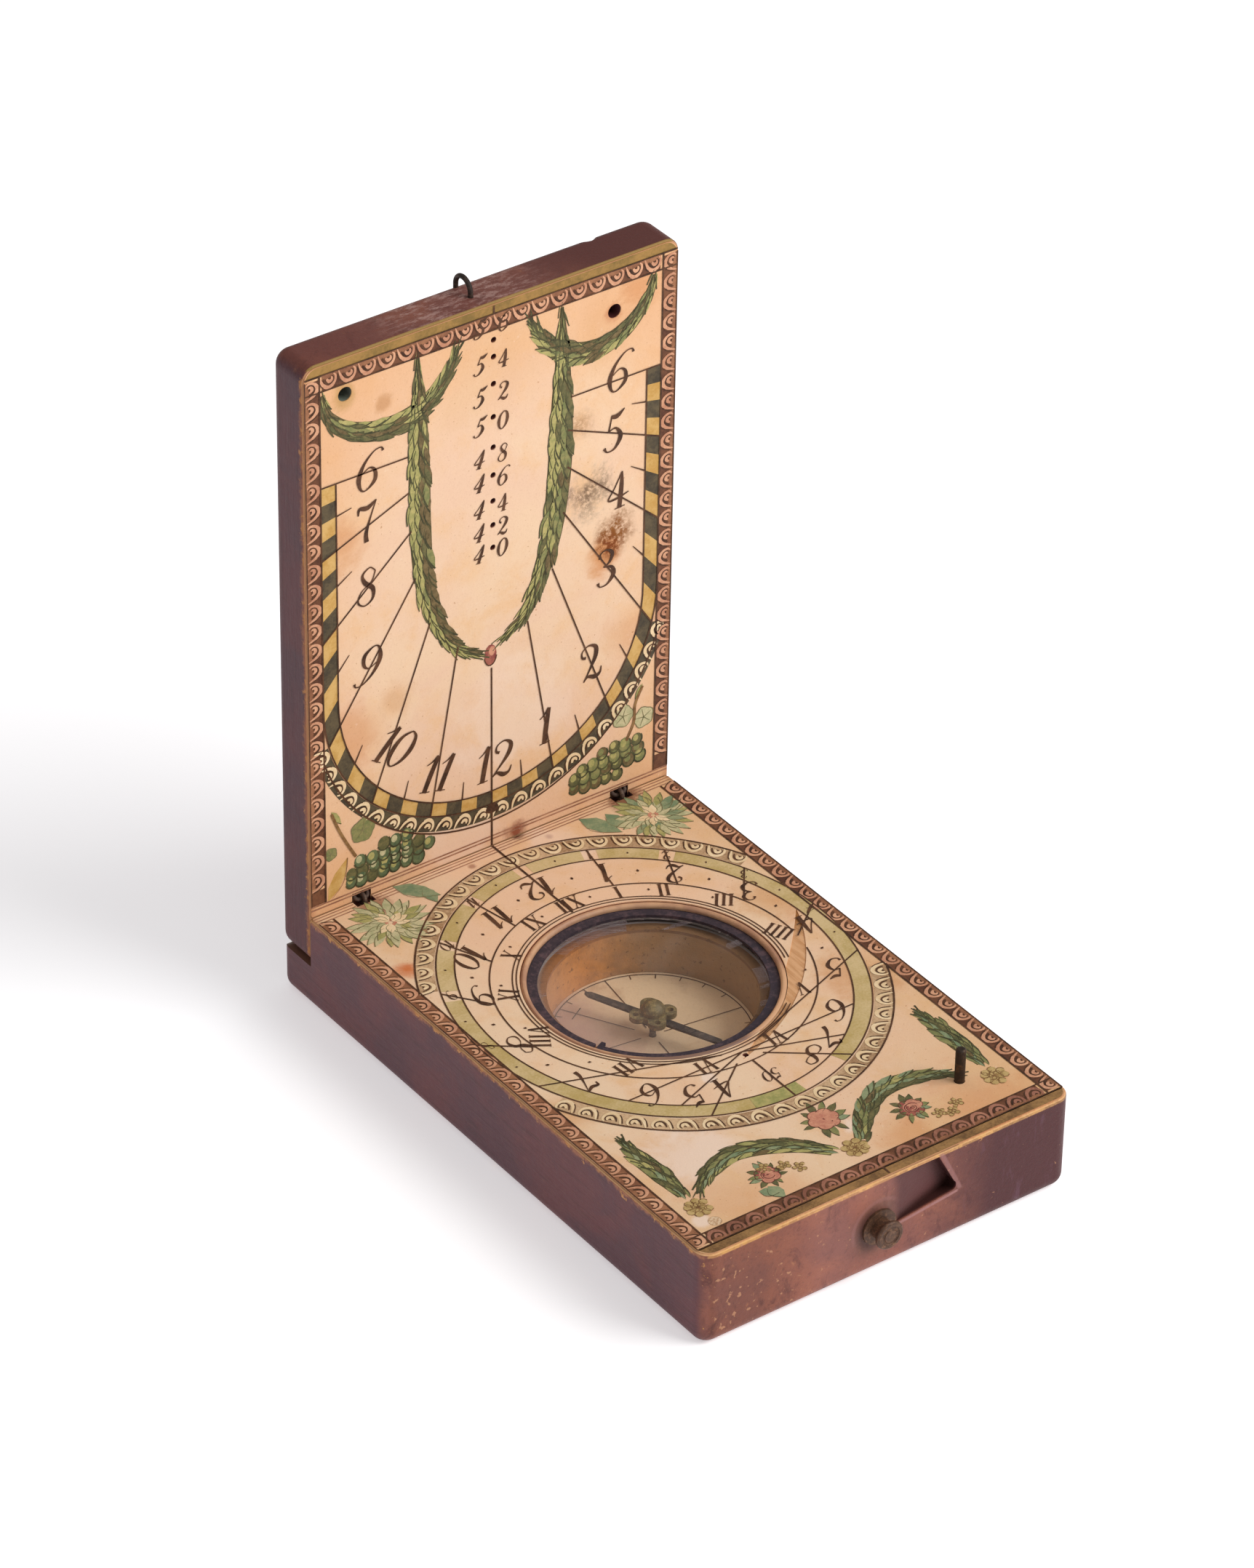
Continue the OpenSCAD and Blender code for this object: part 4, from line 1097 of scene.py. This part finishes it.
def turned_wood(name):
    """The bead's bare wood: turned rings, dark from wear at its far side and pale beside the tear."""
    finish = Finish(name, roughness=0.5, Specular_IOR_Level=0.4)
    x, y, z = finish.point
    r = distance(x, y, 0.0, WELL_Y)
    turning = finish.node("CombineXYZ", None, {0: r * 3.0, 1: z * 3.0, 2: 0.0})
    rings = finish.noise(1.2, 4.0, 0.6, at=turning)
    patches = finish.noise(0.16, 5.0, 0.6)
    finish.color = finish.mix(patches.over(0.35, 0.62), (206, 160, 122), (176, 130, 104))
    finish.stain(rings.over(0.5, 0.7) * 0.5, (160, 112, 84))
    torn_side = distance(x, y, 12.5, WELL_Y - 16.5).over(11.0, 7.0)
    worn_dark = (WELL_Y - y + patches * 12.0).over(14.0, 24.0) * (1 - torn_side)
    finish.lay(worn_dark * 0.8, (124, 96, 84))
    finish.lay(torn_side * 0.7, (226, 176, 132))
    finish.set(Base_Color=finish.color)
    finish.bump(rings + patches * 0.5, 0.08)
    return finish.material


def worn_metal(name, dark, light, roughness, metallic, scale=0.9):
    """Metal that is dull in patches; metallic holds the least and the most."""
    finish = Finish(name, roughness=roughness)
    patches = finish.noise(scale, 5.0, 0.65, 0.3)
    specks = finish.noise(scale * 5, 3.0, 0.7)
    bright = (patches * 0.75 + specks * 0.25).over(0.45, 0.68)
    least, most = metallic
    finish.set(Base_Color=finish.mix(bright, dark, light), Metallic=least + bright * (most - least),
               Roughness=roughness + specks * 0.2 - bright * 0.12)
    finish.bump(patches + specks * 0.6, 0.03)
    return finish.material


def old_glass(name):
    """Thin glass with a haze, a bloom at its left, dust and a pale rim at its far edge that is a painted
    highlight.
    """
    finish = Finish(name, roughness=0.08, Base_Color=(0.52, 0.42, 0.37, 1.0), Specular_IOR_Level=0.22)
    haze = finish.noise(0.12, 4.0, 0.6, 0.5)
    dust = finish.noise(2.2, 3.0, 0.7).over(0.66, 0.74)
    glint = finish.node("LayerWeight", None, {"Blend": 0.2})
    x, y, _ = finish.point
    bloom = (x + haze * 6.0).over(0.0, -16.0)
    # The pale rim along the glass's far edge is a painted highlight.
    rim = distance(x, y, 0.0, WELL_Y).over(16.9, 17.5) * y.over(WELL_Y - 6.0, WELL_Y + 8.0)
    clouded = 0.02 + haze.over(0.45, 0.7) * 0.05 + bloom * 0.2 + rim * 0.2
    finish.set(Alpha=clouded + dust * 0.03 + glint * 0.03)
    return finish.material


def compass_paper(name):
    finish = Finish(name, roughness=0.75)
    x, _, _ = finish.point
    cloud = finish.noise(0.2, 5.0, 0.6, 0.3)
    fibres = finish.noise(3.0, 4.0, 0.7)
    finish.color = finish.mix((x + cloud * 8.0).over(-7.0, 6.0), (188, 146, 126), (232, 202, 162))
    finish.lay(cloud.over(0.5, 0.72) * 0.5, (180, 138, 102))
    finish.stain(fibres.over(0.5, 0.75) * 0.25, (190, 160, 130))
    finish.set(Base_Color=finish.color)
    finish.bump(fibres + cloud, 0.06)
    return finish.material


def pale_plug(name):
    finish = Finish(name, roughness=0.65)
    grain = finish.noise(2.4, 5.0, 0.6, stretch=(1.0, 1.0, 0.2))
    finish.set(Base_Color=finish.mix(grain.over(0.4, 0.65), (226, 196, 160), (188, 144, 104)))
    finish.bump(grain, 0.05)
    return finish.material


LID_SPOTS = [
    (22.4, 48.6, 5.0, 1.1, (150, 108, 52)), (20.6, 46.0, 4.6, 0.8, (222, 172, 108)),
    (17.2, 58.6, 6.0, 1.1, (146, 140, 134)), (15.8, 71.0, 4.0, 1.1, (206, 192, 176)),
    (-19.6, 87.2, 2.0, 0.6, (210, 186, 150)), (0.0, 90.0, 16.0, 0.3, (238, 222, 186)),
    (20.0, 86.0, 9.0, 0.35, (236, 214, 170)),
    (4.5, 0.8, 2.6, 0.9, (150, 84, 60)), (-27.5, 66.0, 6.0, 0.5, (226, 184, 132)),
    (-26.5, 91.2, 2.8, 0.7, (206, 204, 156)), (27.0, 30.0, 7.0, 0.45, (232, 194, 148)),
    (-26.0, 30.0, 8.0, 0.5, (228, 184, 136)), (26.5, 91.0, 5.0, 0.5, (226, 186, 142)),
    (22.1, 88.7, 2.2, 0.6, (206, 150, 118)), (-18.0, 34.0, 4.0, 0.45, (222, 190, 146)),
]
BASE_SPOTS = [
    (-29.0, -19.0, 3.0, 0.9, (222, 142, 88)), (4.6, 0.2, 1.9, 0.95, (84, 48, 34)),
    (-5.6, -2.6, 0.9, 0.6, (150, 96, 80)), (8.7, -3.0, 1.0, 0.6, (150, 96, 80)),
    (-24.0, -2.0, 3.4, 0.7, (150, 100, 74)), (24.4, -1.0, 3.4, 0.85, (120, 76, 54)),
    (27.0, -60.0, 9.0, 0.5, (220, 180, 116)), (28.0, -36.0, 7.0, 0.5, (220, 174, 106)),
    (20.0, -96.0, 12.0, 0.4, (232, 176, 126)), (9.0, -95.0, 7.0, 0.5, (230, 184, 126)),
    (-20.0, -95.0, 12.0, 0.35, (234, 182, 130)),
    (-30.0, -62.0, 6.0, 0.5, (226, 182, 122)), (2.0, -62.0, 3.0, 0.4, (214, 166, 128)),
]
LID_BLOOMS = [(4.0, 23.0, 12.0, 0.3), (-6.0, 4.0, 8.0, 0.3)]
BASE_BLOOMS = [(-29.0, -93.6, 1.9, 0.7), (2.4, -88.4, 2.3, 0.7), (-8.0, -66.8, 1.4, 0.7),
               (-21.0, -79.5, 8.0, 0.6), (9.0, -5.5, 7.0, 0.35)]


def base_guard(_, y, z):
    return z.over(12.0, 4.0) * 0.5 + y.over(FRONT_Y + 1.0, FRONT_Y + 0.4) * 0.6


def lid_guard(x, y, z):
    rear_and_side = y.over(49.0, 51.0) * 0.6
    return z.over(LID_HIGH.z - 2, LID_HIGH.z - 0.4) * 1.3 + rear_and_side + x.over(32.4, 33.4) * 0.5


needle_steel = worn_metal("Dull blued steel", (58, 50, 48), (112, 100, 90), 0.42, (0.5, 0.8))
FINISHES = {
    "base_leaf": painted_wood("Plum painted base", BASE_LOW, BASE_HIGH, (1.0, 0.07, 1.0), base_bare_wood_and_painted_light,
                              base_guard),
    "lid_leaf": painted_wood("Plum painted lid", LID_LOW, LID_HIGH, (1.0, 1.0, 0.07), lid_bare_wood_and_painted_shade, lid_guard),
    "horizontal_dial_paper": dial_paper(
        "Base dial paper", False, -100.45, (-6.0, -45.0, 58.0),
        ((240, 208, 174), (232, 186, 138), (238, 198, 164), (228, 182, 132)), BASE_SPOTS, BASE_BLOOMS),
    "vertical_dial_paper": dial_paper(
        "Lid dial paper", True, LID_HIGH.z - HINGE.z, (2.0, 45.0, 48.0),
        ((238, 204, 170), (234, 190, 144), (236, 198, 168), (230, 178, 132)), LID_SPOTS, LID_BLOOMS),
    "well_bead": turned_wood("Turned bead wood"),
    "glass_ring": worn_metal("Blackened ring", (50, 40, 50), (96, 76, 82), 0.65, (0.1, 0.3)),
    "compass_glass": old_glass("Old hazy glass"),
    "compass_card": compass_paper("Compass card paper"),
    "compass_pivot": needle_steel,
    "compass_needle": needle_steel,
    "needle_cap": worn_metal("Brown old brass", (104, 90, 58), (168, 148, 98), 0.45, (0.3, 0.6)),
    "locating_peg": worn_metal("Dark iron peg", (47, 34, 24), (94, 70, 48), 0.5, (0.4, 0.7)),
    "peg_plug": pale_plug("Pale peg wood"),
    "lid_eye": worn_metal("Dark iron wire", (46, 34, 28), (92, 74, 64), 0.6, (0.3, 0.6)),
    "latch_stud": worn_metal("Dull stud brass", (80, 54, 38), (134, 96, 70), 0.45, (0.3, 0.65), 1.6),
}
iron_wire = worn_metal("Rusty hinge wire", (70, 50, 40), (122, 98, 82), 0.6, (0.3, 0.5))
for node, held in frame["nodes"].items():
    for slot in held.material_slots:
        slot.material = FINISHES.get(node, iron_wire)

# Each ink: its height on the paper, its name, its full and its faded tint, and the scale of its pools
INK_TABLE = {
    "ink": (0.0818, "Brown black ink", (58, 36, 24), (100, 66, 44), 0.3),
    "leaf_line": (0.0602, "Green black ink", (58, 56, 36), (92, 90, 58), 0.3),
    "rust": (0.035, "Rose brown rule", (142, 94, 72), (184, 134, 104)),
    "gold": (0.012, "Gold ochre wash", (194, 148, 76), (214, 174, 108)),
    "slate": (0.012, "Slate wash", (66, 58, 46), (100, 86, 62)),
    "olive": (0.012, "Yellow olive wash", (186, 160, 98), (214, 188, 140), 0.12),
    "strip": (0.012, "Dull olive wash", (128, 102, 52), (168, 128, 70), 0.2),
    "strip_gold": (0.012, "Golden olive wash", (108, 78, 48), (164, 124, 76), 0.2),
    "scroll_dark": (0.014, "Plum brown ground", (82, 48, 34), (124, 80, 54), 0.12),
    "scroll_tan": (0.014, "Tan ground", (150, 112, 78), (216, 182, 142), 0.07),
    "scroll_mid": (0.035, "Dull pink ground", (128, 82, 58), (166, 114, 80), 0.12),
    "scroll_pale": (0.0575, "Pink scroll", (188, 130, 100), (222, 168, 132), 0.2),
    "scroll_dull": (0.0575, "Dull pink scroll", (132, 84, 66), (178, 122, 98), 0.2),
    "scroll_cream": (0.0575, "Cream scroll", (226, 194, 148), (242, 216, 176)),
    "leaf_under": (0.0125, "Olive shadow wash", (78, 72, 44), (106, 94, 60)),
    "leaf_brown": (0.0365, "Brown green wash", (88, 74, 46), (128, 108, 72), 0.8),
    "leaf_dark": (0.0375, "Deep green wash", (84, 86, 54), (120, 110, 70), 0.8),
    "leaf": (0.037, "Leaf green wash", (114, 120, 74), (150, 142, 90), 0.8),
    "leaf_light": (0.0372, "Yellow green wash", (150, 148, 88), (186, 172, 110), 0.8),
    "sage": (0.036, "Sage wash", (172, 170, 126), (208, 194, 152), 0.6),
    "teal": (0.036, "Teal wash", (114, 132, 98), (154, 158, 118)),
    "grape": (0.0363, "Grape wash", (78, 94, 66), (112, 120, 82), 0.9),
    "rose": (0.0376, "Rose wash", (136, 68, 64), (172, 104, 84), 0.8),
    "rose_dark": (0.0604, "Dark rose ink", (84, 42, 38), (130, 74, 58), 0.8),
    "umber": (0.0814, "Umber ink", (110, 76, 44), (158, 120, 74), 0.5),
    "petal": (0.0582, "Pale petal wash", (188, 120, 98), (214, 152, 122), 0.8),
    "yellow": (0.058, "Yellow flower wash", (172, 142, 86), (202, 172, 116), 0.8),
    "leaf_soft": (0.0606, "Grey green line", (104, 100, 66), (140, 130, 90), 0.4),
}
INKS = {ink: (level, ink_paint(*looks)) for ink, (level, *looks) in INK_TABLE.items()}


# The print on the compass card


def card_print():
    """Thin plain lines on the compass card, about its centre."""
    art = Print()
    reach = (CARD_HIGH.x - CARD_LOW.x) / 2 - 0.6
    north = -8
    pen = 0.16
    for way in (north, north + 90):
        art.line("ink", [polar(reach, way), polar(2.0, way)], pen)
        art.line("ink", [polar(2.0, way + 180), polar(reach, way + 180)], pen)
    art.line("ink", arc((0, 0), reach, reach, 0, 360, 4), 0.18)
    art.line("ink", [polar(reach, 120), polar(3.0, 120)], pen)
    art.line("ink", turned([(12.7, -1.6), (12.7, 1.6)], (0, 0), 120), pen)
    for i in range(24):
        art.line("ink", [polar(reach - 1.1, 15 * i + north), polar(reach, 15 * i + north)], 0.14)
    return art


lay_print(lid_print(), "lid", on_lid, "lid")
lay_print(base_print(), "base", on_base, "base")
lay_print(card_print(), "card", on_card, "base")


# Floor, lights and camera, in metres

FLOOR_HALF = 3.0
FLOOR_GLOW = 0.42
ROOM_LIGHT = 0.37
LIGHT_TARGET = (0, 0, 0.04)


def floor():
    """A pale floor that glows a little, so that its far parts stay as pale as the near ones."""
    mesh = bpy.data.meshes.new("floor")
    corners = [(x * FLOOR_HALF, y * FLOOR_HALF, 0) for x, y in ((-1, -1), (1, -1), (1, 1), (-1, 1))]
    mesh.from_pydata(corners, [], [(0, 1, 2, 3)])
    finish = Finish("Pale floor", roughness=0.9, Emission_Color=(1.0, 0.97, 0.99, 1.0),
                    Emission_Strength=FLOOR_GLOW)
    clouds = finish.noise(0.01) * 0.3
    finish.set(Base_Color=finish.mix(clouds, (0.97, 0.97, 0.97, 1.0), (0.95, 0.95, 0.95, 1.0)))
    mesh.materials.append(finish.material)
    ground = added("floor", mesh)


def softbox(name, location, size, power):
    light = bpy.data.lights.new(name, "AREA")
    light.shape = "RECTANGLE"
    light.size, light.size_y = size
    light.energy = power
    held = added(name, light)
    held.location = location
    held.rotation_euler = (Vector(LIGHT_TARGET) - Vector(location)).to_track_quat("-Z", "Y").to_euler()


CAMERA_AT = Vector((-502.6, -663.25, 633.55)) * MM
CAMERA_TO = Vector((4.246, 17.219, 43.435)) * MM
CAMERA_ROLL = math.radians(1.0)
CAMERA_LENS = 157.8


def camera():
    back = (CAMERA_AT - CAMERA_TO).normalized()
    right = Vector((0, 0, 1)).cross(back).normalized()
    up = back.cross(right)
    c, s = math.cos(CAMERA_ROLL), math.sin(CAMERA_ROLL)
    right, up = c * right + s * up, c * up - s * right
    data = bpy.data.cameras.new("camera")
    data.lens = CAMERA_LENS
    data.clip_start = 0.05
    held = added("camera", data)
    held.matrix_world = Matrix.Translation(CAMERA_AT) @ Matrix((right, up, back)).transposed().to_4x4()
    bpy.context.scene.camera = held


floor()
softbox("key light", (0.7, -0.75, 0.9), (0.9, 0.9), 14.0)
softbox("side light", (-1.0, -0.35, 0.6), (0.7, 1.0), 0.5)
world = bpy.data.worlds.new("studio")
world.use_nodes = True
room = world.node_tree.nodes["Background"]
room.inputs["Color"].default_value = (1.0, 1.0, 1.0, 1.0)
room.inputs["Strength"].default_value = ROOM_LIGHT
bpy.context.scene.world = world
bpy.context.scene.view_settings.view_transform = "Standard"
camera()
